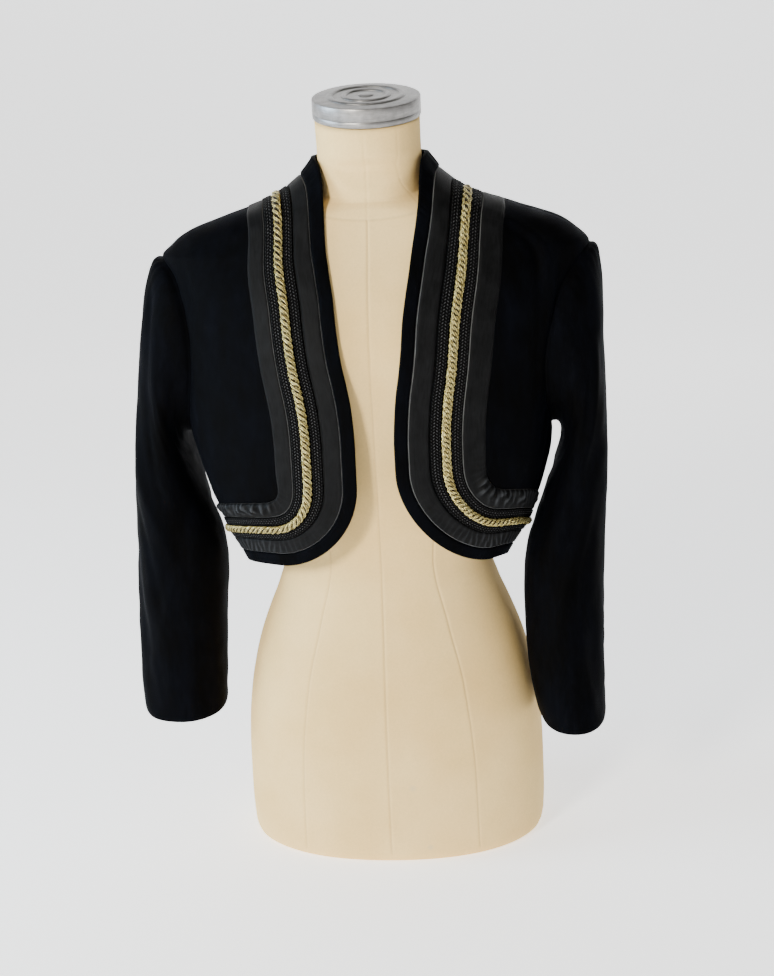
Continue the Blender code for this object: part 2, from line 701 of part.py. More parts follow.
def sleeve_rings(side):
    """Outer rings of a sleeve, from the armhole to the cuff, and their outward directions."""
    halves = []
    for from_back in (False, True):
        halves.append(place_on_body(side, armhole_places(side, from_back, SEAM_GAP), from_back))
    (front, front_normals), (back, back_normals) = halves
    first = np.concatenate([front, back[-2:0:-1]])
    first_normals = np.concatenate([front_normals, back_normals[-2:0:-1]])
    turns = np.linspace(0, 2 * math.pi, 2 * ARMHOLE_CELLS + 1)[:-1]
    power = 2 / SLEEVE_SQUARENESS
    cosines, sines = np.cos(turns), np.sin(turns)
    cosines = np.sign(cosines) * np.abs(cosines) ** power
    sines = np.sign(sines) * np.abs(sines) ** power
    rings = []
    for inner, inner_height, outer, outer_height, middle_y, half_depth in SLEEVES[side]:
        x = side * ((outer + inner) / 2 + (outer - inner) / 2 * cosines)
        z = (outer_height + inner_height) / 2 + (outer_height - inner_height) / 2 * cosines
        past = len(rings) - len(SLEEVES[side]) + CUFF_DROP_RINGS
        drop = CUFF_DROP * smooth_step(past / CUFF_DROP_RINGS)
        rings.append(np.stack([x, middle_y - half_depth * sines, z - drop * sines], -1))
    rings = np.array(rings)
    settle = first - rings[0]
    for number in range(len(rings)):
        share = 1 - smooth_step(number / SLEEVE_SETTLE_RINGS)
        rings[number] += settle * share
    normals = ring_normals(rings)
    numbers = np.arange(len(rings))[:, None]
    degrees = np.degrees(turns)[None, :]
    lift = np.zeros((len(rings), len(turns)))
    for ring, angle, half_rings, half_angle, depth, lean in SLEEVE_FOLDS[side]:
        away = (degrees - angle - lean * (numbers - ring) + 180) % 360 - 180
        lift += depth * np.exp(-((away / half_angle) ** 2) - ((numbers - ring) / half_rings) ** 2)
    rings = rings + normals * lift[..., None] * smooth_step(numbers / SLEEVE_FOLD_START_RINGS)[..., None]
    normals = ring_normals(rings)
    normals[0] = first_normals
    return rings, normals


def build_sleeve(side, finish):
    """One sleeve as an open tube with a wall."""
    rings, normals = sleeve_rings(side)
    index = np.arange(rings[..., 0].size).reshape(rings.shape[:2])
    index = np.concatenate([index, index[:, :1]], axis=1)
    wall = closed_wall(rings.reshape(-1, 3), normals.reshape(-1, 3), grid_triangles(index), CLOTH)
    add_object(f"sleeve_{SIDE_NAMES[side]}", *wall, finish)


def build_strip(name, first, second, first_normals, second_normals, thickness, finish):
    """A flat strip between two lines of a panel's points, moved out by the seam's gap."""
    width = np.linalg.norm(second - first, axis=1, keepdims=True)
    inset = HALF_GAP / width
    lines = np.array([first + (second - first) * inset, second + (first - second) * inset])
    normals = unit(
        np.array(
            [
                first_normals + (second_normals - first_normals) * inset,
                second_normals + (first_normals - second_normals) * inset,
            ]
        )
    )
    outer = lines + normals * (SEAM_GAP + thickness)
    index = np.arange(outer[..., 0].size).reshape(outer.shape[:2])
    wall = closed_wall(
        outer.reshape(-1, 3), normals.reshape(-1, 3), grid_triangles(index), thickness
    )
    add_object(name, *wall, finish)


def build_cord(name, first, second, first_normals, second_normals, height, finish):
    """A twisted cord with four ridges, laid between two lines of a panel's points."""
    middle = (first + second) / 2
    up = unit(first_normals + second_normals)
    half_height = height / 2
    middle = middle + up * (SEAM_GAP + CORD_LIFT + half_height)
    steps = np.linalg.norm(np.diff(middle, axis=0), axis=1)
    along = np.concatenate([[0.0], np.cumsum(steps)])
    sections = int(along[-1] / CORD_PITCH * CORD_SECTIONS_PER_PITCH)
    places = np.linspace(0, along[-1], sections + 1)
    centres, ups, across = (
        np.stack([np.interp(places, along, values[:, k]) for k in range(3)], -1)
        for values in (middle, up, second - first)
    )
    half_width = np.linalg.norm(across, axis=1, keepdims=True) / 2 - HALF_GAP
    across = unit(across)
    twist = 2 * math.pi / CORD_RIDGES / CORD_SECTIONS_PER_PITCH * np.arange(sections + 1)
    taper = np.ones(sections + 1)
    taper[[0, -1]] = CORD_END_TAPER
    rings = []
    for ridge in range(CORD_RIDGES):
        turn = twist + ridge * 2 * math.pi / CORD_RIDGES
        wide = half_width * (taper * np.cos(turn))[:, None] * across
        tall = half_height * (taper * np.sin(turn))[:, None] * ups
        rings.append(centres + wide + tall)
    rings = np.array(rings).transpose(1, 0, 2)
    index = np.arange(rings[..., 0].size).reshape(rings.shape[:2])
    sides = grid_triangles(np.concatenate([index, index[:, :1]], axis=1))
    start, end = index[0], index[-1]
    caps = [(start[0], start[1], start[2]), (start[0], start[2], start[3])]
    caps += [(end[0], end[2], end[1]), (end[0], end[3], end[2])]
    points, triangles = rings.reshape(-1, 3), np.array(sides + caps)
    triangles = facing_out(points, triangles)
    add_object(name, points, triangles, finish)


def facing_out(points, triangles):
    """The triangles of a closed body, turned so that they point outwards."""
    a, b, c = (points[triangles[:, k]] for k in range(3))
    volume = (a * np.cross(b, c)).sum()
    return triangles[:, ::-1] if volume < 0 else triangles


def build_border(side, points, normals, finishes):
    """The band, ribbons, braids and cord that lie on one front."""
    for number, (kind, _, _, thickness, _) in enumerate(BORDER):
        lines = (
            points[:, number],
            points[:, number + 1],
            normals[:, number],
            normals[:, number + 1],
        )
        builder = build_cord if kind == "gold_cord" else build_strip
        builder(f"{kind}_{SIDE_NAMES[side]}", *lines, thickness, finishes[kind])


def section_reach(side, directions, heights):
    """Distance from the axis to the jacket's section in each horizontal direction."""
    half, front, back, squareness = body_sizes(side, heights)
    depth = np.where(directions[..., 1] < 0, front, back)
    wide = np.abs(directions[..., 0]) / half
    deep = np.abs(directions[..., 1]) / depth
    return (wide**squareness + deep**squareness) ** (-1 / squareness)


def kept_inside_jacket(points):
    """The form's points, drawn in where they would come too near the jacket's inner side."""
    kept = points.copy()
    flat = np.hypot(points[..., 0], points[..., 1])
    directions = points / flat[..., None]
    for side in (RIGHT, LEFT):
        heights = points[..., 2]
        reach = section_reach(side, directions, heights)
        lower = section_reach(side, directions, heights - SLOPE_RISE)
        upper = section_reach(side, directions, heights + SLOPE_RISE)
        slope = (upper - lower) / (2 * SLOPE_RISE)
        allowed = reach - (CLOTH + FORM_CLEARANCE) * np.sqrt(1 + slope**2)
        limit = np.minimum(flat, allowed)
        blend = np.clip(0.5 + 0.5 * (allowed - flat) / FIT_SOFTNESS, 0, 1)
        limit = limit - FIT_SOFTNESS * blend * (1 - blend)
        in_zone = smooth_step((heights - FIT_LOW) / FIT_LOW_FADE)
        in_zone = in_zone * smooth_step((NECK_HEIGHT - heights) / FIT_HIGH_FADE)
        wanted = flat + (limit - flat) * in_zone
        mine = points[..., 0] * side >= 0
        kept[..., :2] = np.where(
            mine[..., None], points[..., :2] * (wanted / flat)[..., None], kept[..., :2]
        )
    return kept


def form_rings():
    """Outer rings of the covered body and neck."""
    turns = np.linspace(0, 2 * math.pi, FORM_SIDES + 1)[:-1]
    power = 2 / FORM_SQUARENESS
    across = np.sign(np.sin(turns)) * np.abs(np.sin(turns)) ** power
    deep = np.sign(np.cos(turns)) * np.abs(np.cos(turns)) ** power
    rings = []
    for height, half_width, front, back, centre_y, tilt in FORM_SECTIONS:
        x = half_width * across
        y = np.where(deep > 0, -front * deep, -back * deep)
        bust = np.exp(
            -(((np.abs(x) - BUST_X) ** 2 + (height - BUST_HEIGHT) ** 2) / (2 * BUST_SPREAD**2))
        )
        y = y - BUST_RISE * bust * np.clip(deep, 0, 1) ** 0.5
        z = height + y * math.tan(math.radians(tilt))
        rings.append(np.stack([x, y + centre_y, z], -1))
    return kept_inside_jacket(np.array(rings))


def build_form(cover, metal):
    """The covered body with its flat underside, and the metal cap on its neck."""
    rings = form_rings()
    index = np.arange(rings[..., 0].size).reshape(rings.shape[:2])
    points = np.concatenate([rings.reshape(-1, 3), rings[:1].mean(axis=1), rings[-1:].mean(axis=1)])
    foot, top = len(points) - 2, len(points) - 1
    triangles = grid_triangles(np.concatenate([index, index[:, :1]], axis=1))
    for number in range(FORM_SIDES):
        after = (number + 1) % FORM_SIDES
        triangles += [(foot, index[0, number], index[0, after])]
        triangles += [(top, index[-1, after], index[-1, number])]
    add_object("form_body", points, facing_out(points, np.array(triangles)), cover)
    build_cap(rings[-1].mean(axis=0), metal)


def build_cap(seat, metal):
    """The turned cap, tilted with the neck."""
    profile = [(0.0, 0.0), (CAP_RADIUS - CAP_EDGE, 0.0), (CAP_RADIUS, CAP_EDGE)]
    profile += [(CAP_RADIUS, CAP_BAND - CAP_EDGE), (CAP_RADIUS - CAP_EDGE, CAP_BAND)]
    profile += [(radius, CAP_BAND + rise) for radius, rise in CAP_RINGS]
    profile += [(0.0, CAP_BAND + CAP_RINGS[-1][1])]
    turns = np.linspace(0, 2 * math.pi, CAP_SIDES + 1)[:-1]
    rings = np.array(
        [
            [(radius * math.cos(turn), radius * math.sin(turn), height) for turn in turns]
            for radius, height in profile[1:-1]
        ]
    )
    index = np.arange(rings[..., 0].size).reshape(rings.shape[:2])
    ends = [(0.0, 0.0, profile[0][1]), (0.0, 0.0, profile[-1][1])]
    points = np.concatenate([rings.reshape(-1, 3), ends])
    triangles = grid_triangles(np.concatenate([index, index[:, :1]], axis=1))
    for number in range(CAP_SIDES):
        after = (number + 1) % CAP_SIDES
        triangles += [(len(points) - 2, index[0, number], index[0, after])]
        triangles += [(len(points) - 1, index[-1, after], index[-1, number])]
    cap = add_object("form_cap", points, facing_out(points, np.array(triangles)), metal)
    cap.rotation_euler = (CAP_TILT, CAP_ROLL, 0.0)
    rise = SEAM_GAP + CAP_RADIUS * math.sin(abs(CAP_ROLL))
    cap.location = (
        seat[0],
        seat[1] - rise * math.sin(CAP_TILT),
        seat[2] + rise * math.cos(CAP_TILT),
    )


def main():
    for old in list(bpy.data.objects):
        bpy.data.objects.remove(old, do_unlink=True)
    velvet = material("velvet", (0.012, 0.012, 0.016), 0.75)
    ribbon = material("ribbon", (0.035, 0.035, 0.037), 0.60)
    braid = material("braid", (0.010, 0.010, 0.010), 0.70)
    gold = material("gold", (0.72, 0.60, 0.30), 0.35, 0.6)
    cover = material("form_cover", (0.78, 0.72, 0.60), 0.80)
    metal = material("cap_metal", (0.55, 0.55, 0.56), 0.35, 1.0)
    finishes = {
        "edge_band": velvet,
        "inner_ribbon": ribbon,
        "inner_braid": braid,
        "gold_cord": gold,
        "outer_braid": braid,
        "outer_ribbon": ribbon,
    }
    build_form(cover, metal)
    for side in (RIGHT, LEFT):
        points, normals = build_front(side, velvet)
        build_border(side, points, normals, finishes)
        build_sleeve(side, velvet)
    neck_points, neck_normals = build_back(velvet)
    build_strip("neck_band_back", *neck_points, *neck_normals, BORDER[0][3], velvet)


main()
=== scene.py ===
"""Looks of a velvet bolero jacket on its covered dress form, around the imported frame.

Units are metres in the frame's own axes: +Z is up, the form faces -Y, and the wearer's right
lies at -X. A place on the jacket's body is an angle from the centre front (0 at the front, 90
degrees at the side seam and along the shoulder, 180 at the back) and a height. Panels are laid
out flat as (run, height), where run is the distance along the horizontal section.
"""

from __future__ import annotations

import logging
import math
from collections.abc import Callable
from dataclasses import dataclass
from enum import Enum

import bmesh
import bpy
import numpy as np
from mathutils import Matrix, Vector

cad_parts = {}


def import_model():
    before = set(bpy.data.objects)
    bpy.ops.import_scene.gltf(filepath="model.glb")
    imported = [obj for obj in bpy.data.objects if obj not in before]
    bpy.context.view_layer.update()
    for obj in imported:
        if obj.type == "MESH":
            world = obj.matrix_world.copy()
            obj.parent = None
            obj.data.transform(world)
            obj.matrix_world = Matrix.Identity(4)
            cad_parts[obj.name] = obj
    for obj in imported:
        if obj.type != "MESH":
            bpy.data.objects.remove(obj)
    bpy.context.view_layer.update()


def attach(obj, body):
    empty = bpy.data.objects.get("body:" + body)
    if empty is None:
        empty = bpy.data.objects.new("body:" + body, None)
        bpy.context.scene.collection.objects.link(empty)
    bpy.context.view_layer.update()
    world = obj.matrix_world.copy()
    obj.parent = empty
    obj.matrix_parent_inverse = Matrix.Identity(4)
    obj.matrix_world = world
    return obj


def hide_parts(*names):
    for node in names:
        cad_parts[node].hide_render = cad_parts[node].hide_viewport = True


LOG = logging.getLogger("bolero")
BODY = "root"

Colour = tuple[float, float, float]
Socket = bpy.types.NodeSocket

# The cloth and the gap under each sewn strip are as in the solids
CLOTH = 0.0018
SEAM_GAP = 0.0003
# A band's underside lies this far off the cloth, and a cord this much above the seam's gap
UNDERSIDE = 0.0001
# Seams between panels are drawn nearly closed
HALF_GAP = 0.00003
# How far the form's cover stays inside the cloth
FORM_CLEARANCE = 0.0030

BODY_SECTIONS = (
    # height, right_half, left_half, front, back, squareness
    (0.312, 0.146, 0.127, 0.12, 0.113, 3.0),
    (0.332, 0.151, 0.1345, 0.121, 0.111, 3.0),
    (0.35, 0.16, 0.145, 0.122, 0.109, 2.95),
    (0.372, 0.1735, 0.16, 0.1235, 0.108, 2.85),
    (0.395, 0.184, 0.17, 0.125, 0.108, 2.8),
    (0.42, 0.195, 0.1785, 0.127, 0.108, 2.7),
    (0.45, 0.2045, 0.1865, 0.129, 0.11, 2.55),
    (0.475, 0.211, 0.189, 0.13, 0.113, 2.45),
    (0.52, 0.219, 0.197, 0.13, 0.118, 2.35),
    (0.56, 0.2235, 0.207, 0.127, 0.121, 2.3),
    (0.6, 0.2265, 0.218, 0.119, 0.12, 2.3),
    (0.64, 0.2295, 0.228, 0.104, 0.111, 2.3),
    (0.672, 0.2325, 0.2325, 0.088, 0.099, 2.3),
    (0.6865, 0.219, 0.219, 0.081, 0.092, 2.3),
    (0.699, 0.201, 0.201, 0.076, 0.087, 2.3),
    (0.712, 0.1645, 0.1645, 0.0715, 0.082, 2.3),
    (0.725, 0.124, 0.124, 0.068, 0.077, 2.3),
    (0.738, 0.0955, 0.0955, 0.0655, 0.073, 2.3),
    (0.7505, 0.0785, 0.0785, 0.0635, 0.07, 2.3),
    (0.76, 0.069, 0.069, 0.062, 0.068, 2.3),
    (0.772, 0.0605, 0.0605, 0.0605, 0.067, 2.3),
    (0.79, 0.056, 0.056, 0.06, 0.066, 2.3),
)
RIGHT_HALF, LEFT_HALF, FRONT_DEPTH, BACK_DEPTH, SQUARENESS = range(1, 6)

EDGE_RIGHT = (
    # height, distance of the opening's edge from the middle
    (0.44, 0.0197),
    (0.48, 0.0195),
    (0.518, 0.0215),
    (0.544, 0.0255),
    (0.569, 0.0305),
    (0.601, 0.0345),
    (0.632, 0.0375),
    (0.657, 0.0415),
    (0.682, 0.045),
    (0.718, 0.0465),
    (0.742, 0.0475),
    (0.757, 0.05),
    (0.767, 0.0548),
    (0.772, 0.0605),
)
EDGE_LEFT = (
    # height, distance of the opening's edge from the middle
    (0.44, 0.024),
    (0.48, 0.0238),
    (0.51, 0.0255),
    (0.53, 0.0275),
    (0.555, 0.0315),
    (0.58, 0.0345),
    (0.605, 0.0365),
    (0.63, 0.04),
    (0.654, 0.044),
    (0.678, 0.0475),
    (0.702, 0.0515),
    (0.726, 0.0545),
    (0.75, 0.056),
    (0.765, 0.0575),
    (0.772, 0.0605),
)

SLEEVE_RIGHT = (
    # ring, inner, inner_height, outer, outer_height, middle_y, half_depth
    (0, 0.211, 0.475, 0.2325, 0.672, 0.002, 0.072),
    (1, 0.215, 0.4764, 0.24, 0.669, 0.002, 0.0735),
    (2, 0.218, 0.475, 0.2465, 0.6612, 0.002, 0.0748),
    (3, 0.2195, 0.471, 0.2515, 0.648, 0.002, 0.0755),
    (4, 0.2198, 0.465, 0.2555, 0.629, 0.001, 0.0752),
    (5, 0.2185, 0.457, 0.259, 0.604, 0.0, 0.0742),
    (6, 0.216, 0.447, 0.2625, 0.572, -0.001, 0.0725),
    (7, 0.2125, 0.435, 0.266, 0.537, -0.002, 0.0705),
    (8, 0.208, 0.421, 0.27, 0.501, -0.004, 0.0685),
    (9, 0.202, 0.405, 0.2745, 0.464, -0.006, 0.0665),
    (10, 0.1945, 0.386, 0.2785, 0.428, -0.008, 0.064),
    (11, 0.1865, 0.364, 0.2815, 0.394, -0.01, 0.0615),
    (12, 0.182, 0.338, 0.2838, 0.359, -0.012, 0.059),
    (13, 0.1825, 0.309, 0.2852, 0.323, -0.015, 0.057),
    (14, 0.185, 0.279, 0.2862, 0.288, -0.018, 0.055),
    (15, 0.187, 0.248, 0.2868, 0.254, -0.02, 0.053),
    (16, 0.1885, 0.219, 0.2874, 0.222, -0.022, 0.051),
    (17, 0.1898, 0.194, 0.2876, 0.195, -0.024, 0.0495),
    (18, 0.1908, 0.175, 0.287, 0.175, -0.025, 0.0485),
    (19, 0.1915, 0.16, 0.2858, 0.16, -0.026, 0.048),
)
SLEEVE_LEFT = (
    # ring, inner, inner_height, outer, outer_height, middle_y, half_depth
    (0, 0.189, 0.475, 0.2325, 0.672, 0.002, 0.072),
    (1, 0.1928, 0.4766, 0.238, 0.6685, 0.002, 0.0735),
    (2, 0.1958, 0.475, 0.242, 0.659, 0.002, 0.0748),
    (3, 0.1975, 0.4708, 0.2445, 0.6445, 0.002, 0.0755),
    (4, 0.198, 0.464, 0.2458, 0.624, 0.001, 0.0752),
    (5, 0.1975, 0.456, 0.246, 0.598, 0.0, 0.0742),
    (6, 0.1955, 0.446, 0.2463, 0.566, -0.002, 0.0725),
    (7, 0.1918, 0.434, 0.2472, 0.531, -0.004, 0.0705),
    (8, 0.187, 0.42, 0.2482, 0.495, -0.007, 0.0685),
    (9, 0.1808, 0.404, 0.248, 0.458, -0.01, 0.0662),
    (10, 0.1738, 0.385, 0.2472, 0.422, -0.014, 0.0638),
    (11, 0.165, 0.363, 0.2456, 0.387, -0.018, 0.0612),
    (12, 0.157, 0.337, 0.244, 0.352, -0.022, 0.059),
    (13, 0.154, 0.308, 0.2428, 0.317, -0.027, 0.0572),
    (14, 0.1535, 0.277, 0.242, 0.283, -0.033, 0.0558),
    (15, 0.154, 0.245, 0.2412, 0.249, -0.039, 0.0545),
    (16, 0.156, 0.214, 0.2406, 0.216, -0.044, 0.0535),
    (17, 0.1595, 0.187, 0.2405, 0.188, -0.048, 0.0525),
    (18, 0.164, 0.167, 0.2408, 0.167, -0.051, 0.052),
    (19, 0.169, 0.152, 0.2412, 0.152, -0.053, 0.0515),
)

FORM_SECTIONS = (
    # height, half_width, front, back, centre_y, tilt in degrees
    (0.0, 0.16, 0.112, 0.108, 0.0, 0.0),
    (0.004, 0.166, 0.117, 0.113, 0.0, 0.0),
    (0.014, 0.169, 0.1195, 0.116, 0.0, 0.0),
    (0.05, 0.1705, 0.121, 0.119, 0.0, 0.0),
    (0.1, 0.17, 0.12, 0.12, 0.0, 0.0),
    (0.14, 0.168, 0.118, 0.118, 0.0, 0.0),
    (0.175, 0.164, 0.114, 0.113, 0.0, 0.0),
    (0.21, 0.157, 0.108, 0.106, 0.0, 0.0),
    (0.24, 0.1485, 0.102, 0.098, 0.0, 0.0),
    (0.27, 0.137, 0.096, 0.089, 0.0, 0.0),
    (0.3, 0.1245, 0.0915, 0.0815, 0.0, 0.0),
    (0.34, 0.1135, 0.088, 0.078, 0.0, 0.0),
    (0.38, 0.1165, 0.09, 0.08, 0.0, 0.0),
    (0.43, 0.129, 0.097, 0.087, 0.0, 0.0),
    (0.48, 0.142, 0.103, 0.096, 0.0, 0.0),
    (0.53, 0.152, 0.108, 0.104, 0.0, 0.0),
    (0.58, 0.161, 0.112, 0.11, 0.0, 0.0),
    (0.62, 0.17, 0.106, 0.109, 0.0, 0.0),
    (0.65, 0.175, 0.095, 0.102, 0.0, 0.0),
    (0.675, 0.172, 0.084, 0.094, 0.0, 0.0),
    (0.695, 0.158, 0.076, 0.086, 0.0, 0.0),
    (0.71, 0.138, 0.07, 0.078, 0.0, 1.0),
    (0.72, 0.115, 0.065, 0.072, -0.001, 2.5),
    (0.727, 0.09, 0.06, 0.065, -0.002, 4.0),
    (0.732, 0.07, 0.057, 0.059, -0.003, 6.0),
    (0.738, 0.0585, 0.056, 0.056, -0.004, 8.0),
    (0.756, 0.0558, 0.055, 0.055, -0.008, 10.0),
    (0.782, 0.0553, 0.0548, 0.0548, -0.013, 12.0),
    (0.812, 0.0556, 0.055, 0.055, -0.019, 12.4),
)


class Side(Enum):
    """The wearer's sides. The value is the sign of x there."""

    RIGHT = -1
    LEFT = 1

    @property
    def label(self) -> str:
        """The word that ends the names of this side's pieces."""
        return self.name.lower()


@dataclass(frozen=True)
class Strip:
    """One strip of the border, with a width and an end for each side.

    Its hem share is how much of its width is left at the side seam.
    """

    name: str
    right_width: float
    left_width: float
    thickness: float
    hem_share: float
    right_end: float
    left_end: float

    def width(self, side: Side) -> float:
        """Full width on one side."""
        return self.right_width if side is Side.RIGHT else self.left_width

    def end(self, side: Side) -> float:
        """How far it stops short of the border's upper end on one side."""
        return self.right_end if side is Side.RIGHT else self.left_end


BORDER = (
    # name, right_width, left_width, thickness, hem_share, right_end, left_end
    Strip("edge_band", 0.013, 0.013, 0.0016, 1.0, 0.0, 0.0),
    Strip("inner_ribbon", 0.0205, 0.0225, 0.001, 0.78, 0.004, 0.006),
    Strip("inner_braid", 0.012, 0.0125, 0.0022, 0.66, 0.006, 0.009),
    Strip("gold_cord", 0.0095, 0.0095, 0.0052, 0.84, 0.024, 0.019),
    Strip("outer_braid", 0.0115, 0.012, 0.0022, 0.8, 0.008, 0.0095),
    Strip("outer_ribbon", 0.0195, 0.026, 0.001, 0.85, 0.015, 0.011),
)


def smooth_column(rows: tuple, column: int, places: np.ndarray | float) -> np.ndarray:
    """Value of one column at each place of the first column, without overshoot.

    Args:
        rows: The table, in rising order of its first column.
        column: The column that is read.
        places: Values of the first column.

    Returns:
        One value for each place.
    """
    known = np.array([row[0] for row in rows], float)
    values = np.array([row[column] for row in rows], float)
    spans = np.diff(known)
    slopes = np.diff(values) / spans
    tangents = np.zeros(len(values))
    tangents[0], tangents[-1] = slopes[0], slopes[-1]
    same_way = slopes[:-1] * slopes[1:] > 0
    before, after = slopes[:-1][same_way], slopes[1:][same_way]
    tangents[1:-1][same_way] = 2 * before * after / (before + after)
    places = np.clip(np.asarray(places, float), known[0], known[-1])
    cell = np.clip(np.searchsorted(known, places, side="right") - 1, 0, len(spans) - 1)
    part = (places - known[cell]) / spans[cell]
    square, cube = part**2, part**3
    return (
        (2 * cube - 3 * square + 1) * values[cell]
        + (cube - 2 * square + part) * spans[cell] * tangents[cell]
        + (3 * square - 2 * cube) * values[cell + 1]
        + (cube - square) * spans[cell] * tangents[cell + 1]
    )


def smooth_step(value: np.ndarray | float) -> np.ndarray:
    """0 below 0, 1 above 1, with a soft start and end."""
    value = np.clip(value, 0.0, 1.0)
    return value * value * (3 - 2 * value)


def unit(vectors: np.ndarray) -> np.ndarray:
    """The same directions with a length of 1."""
    return vectors / np.maximum(np.linalg.norm(vectors, axis=-1, keepdims=True), 1e-12)


def swell(values: np.ndarray, middle: np.ndarray | float, reach: float) -> np.ndarray:
    """1 at the middle, fading out over the reach on both sides."""
    return np.exp(-(((values - middle) / reach) ** 2))


def circle_turns(count: int) -> np.ndarray:
    """Even turns all the way round, from 0."""
    return np.linspace(0, math.tau, count + 1)[:-1]


def read_along(places: np.ndarray, known: np.ndarray, rows: np.ndarray) -> np.ndarray:
    """Rows known at some distances along a line, read at other places along it."""
    return np.stack([np.interp(places, known, column) for column in rows.T], -1)


def grid_of(across: np.ndarray, along: np.ndarray) -> np.ndarray:
    """Flat places of a grid, from a value across for each column and one along for each row."""
    return np.stack(np.broadcast_arrays(across, along[:, None]), -1)


def soft_noise(across: np.ndarray, along: np.ndarray, cell: float, seed: int) -> np.ndarray:
    """Smooth seeded noise from -1 to 1 over a flat cloth.

    Args:
        across: First flat coordinate, in metres.
        along: Second flat coordinate, in metres.
        cell: Size of one bump, in metres.
        seed: Seed of the random lattice.

    Returns:
        One value for each place.
    """
    size = 97
    lattice = np.random.default_rng(seed).uniform(-1, 1, (size, size))
    x, y = np.asarray(across) / cell + 31.7, np.asarray(along) / cell + 17.3
    i, j = np.floor(x).astype(int), np.floor(y).astype(int)
    u, v = smooth_step(x - i), smooth_step(y - j)
    low = lattice[i % size, j % size] * (1 - u) + lattice[(i + 1) % size, j % size] * u
    high = lattice[i % size, (j + 1) % size] * (1 - u) + lattice[(i + 1) % size, (j + 1) % size] * u
    return low * (1 - v) + high * v


def signed_power(values: np.ndarray, power: float) -> np.ndarray:
    """Values raised to a power, with their signs kept."""
    return np.sign(values) * np.abs(values) ** power


def row_sums(steps: np.ndarray) -> np.ndarray:
    """Running sums along each row, from 0."""
    return np.concatenate([np.zeros((len(steps), 1)), np.cumsum(steps, axis=1)], axis=1)


def distances_along(line: np.ndarray) -> np.ndarray:
    """Distance of each point of a line from its first one."""
    return row_sums(np.linalg.norm(np.diff(line, axis=0), axis=1)[None])[0]


def tube_directions(rings: np.ndarray) -> np.ndarray:
    """Outward directions on a tube of rings."""
    around = np.roll(rings, -1, axis=1) - np.roll(rings, 1, axis=1)
    normals = unit(np.cross(around, np.gradient(rings, axis=0)))
    middle = rings.mean(axis=1, keepdims=True)
    outward = ((rings - middle) * normals).sum(axis=-1).mean(axis=1)
    return normals * np.sign(outward)[:, None, None]


def length_along(points: np.ndarray) -> float:
    """Mean length of a strip's lines, which run along its first axis."""
    return float(np.linalg.norm(np.diff(points, axis=0), axis=-1).sum(axis=0).mean())


def resample(lines: np.ndarray, step: float, middle: int) -> tuple[np.ndarray, np.ndarray]:
    """Rows of points spaced evenly along one of their columns.

    Args:
        lines: Rows, columns and coordinates.
        step: Distance between the new rows.
        middle: Column along which the distance is measured.

    Returns:
        The new rows, and the distance of each from the start.
    """
    along = distances_along(lines[:, middle])
    count = max(2, int(round(along[-1] / step)) + 1)
    places = np.linspace(0, along[-1], count)
    flat = lines.reshape(len(lines), -1)
    made = read_along(places, along, flat)
    return made.reshape(count, *lines.shape[1:]), places


@dataclass
class Patch:
    """A grid of points, its place on the flat cloth, and whether its columns close a ring."""

    points: np.ndarray
    flat: np.ndarray
    outward: np.ndarray | None = None
    closed: bool = False
    groove: np.ndarray | None = None

    def grooves(self) -> np.ndarray:
        """How deep in a crevice each point lies, from 0 to 1."""
        shape = self.points.shape[:2]
        shade = np.zeros(shape) if self.groove is None else np.broadcast_to(self.groove, shape)
        return shade.ravel()

    def faces(self) -> tuple[np.ndarray, np.ndarray]:
        """Quads as point numbers, and the same quads as numbers of flat places."""
        rows, columns = self.points.shape[:2]
        flat_columns = self.flat.shape[1]
        cells = columns if self.closed else columns - 1
        row, column = np.meshgrid(np.arange(rows - 1), np.arange(cells), indexing="ij")
        row, column = row.ravel(), column.ravel()
        ways = ((row, 0), (row + 1, 0), (row + 1, 1), (row, 1))
        points = np.stack([level * columns + (column + past) % columns for level, past in ways], -1)
        flats = np.stack([level * flat_columns + column + past for level, past in ways], -1)
        if self.outward is not None:
            corners = self.points.reshape(-1, 3)[points]
            facing = np.cross(corners[:, 2] - corners[:, 0], corners[:, 3] - corners[:, 1])
            if (facing * self.outward.reshape(-1, 3)[points[:, 0]]).sum() < 0:
                points, flats = points[:, ::-1], flats[:, ::-1]
        return points, flats

    def flat_area(self) -> float:
        """Area of the patch laid flat, in square metres."""
        _, flats = self.faces()
        a, b, c, d = (self.flat.reshape(-1, 2)[flats[:, k]] for k in range(4))
        first, second = c - a, d - b
        return float(np.abs(first[:, 0] * second[:, 1] - first[:, 1] * second[:, 0]).sum() / 2)


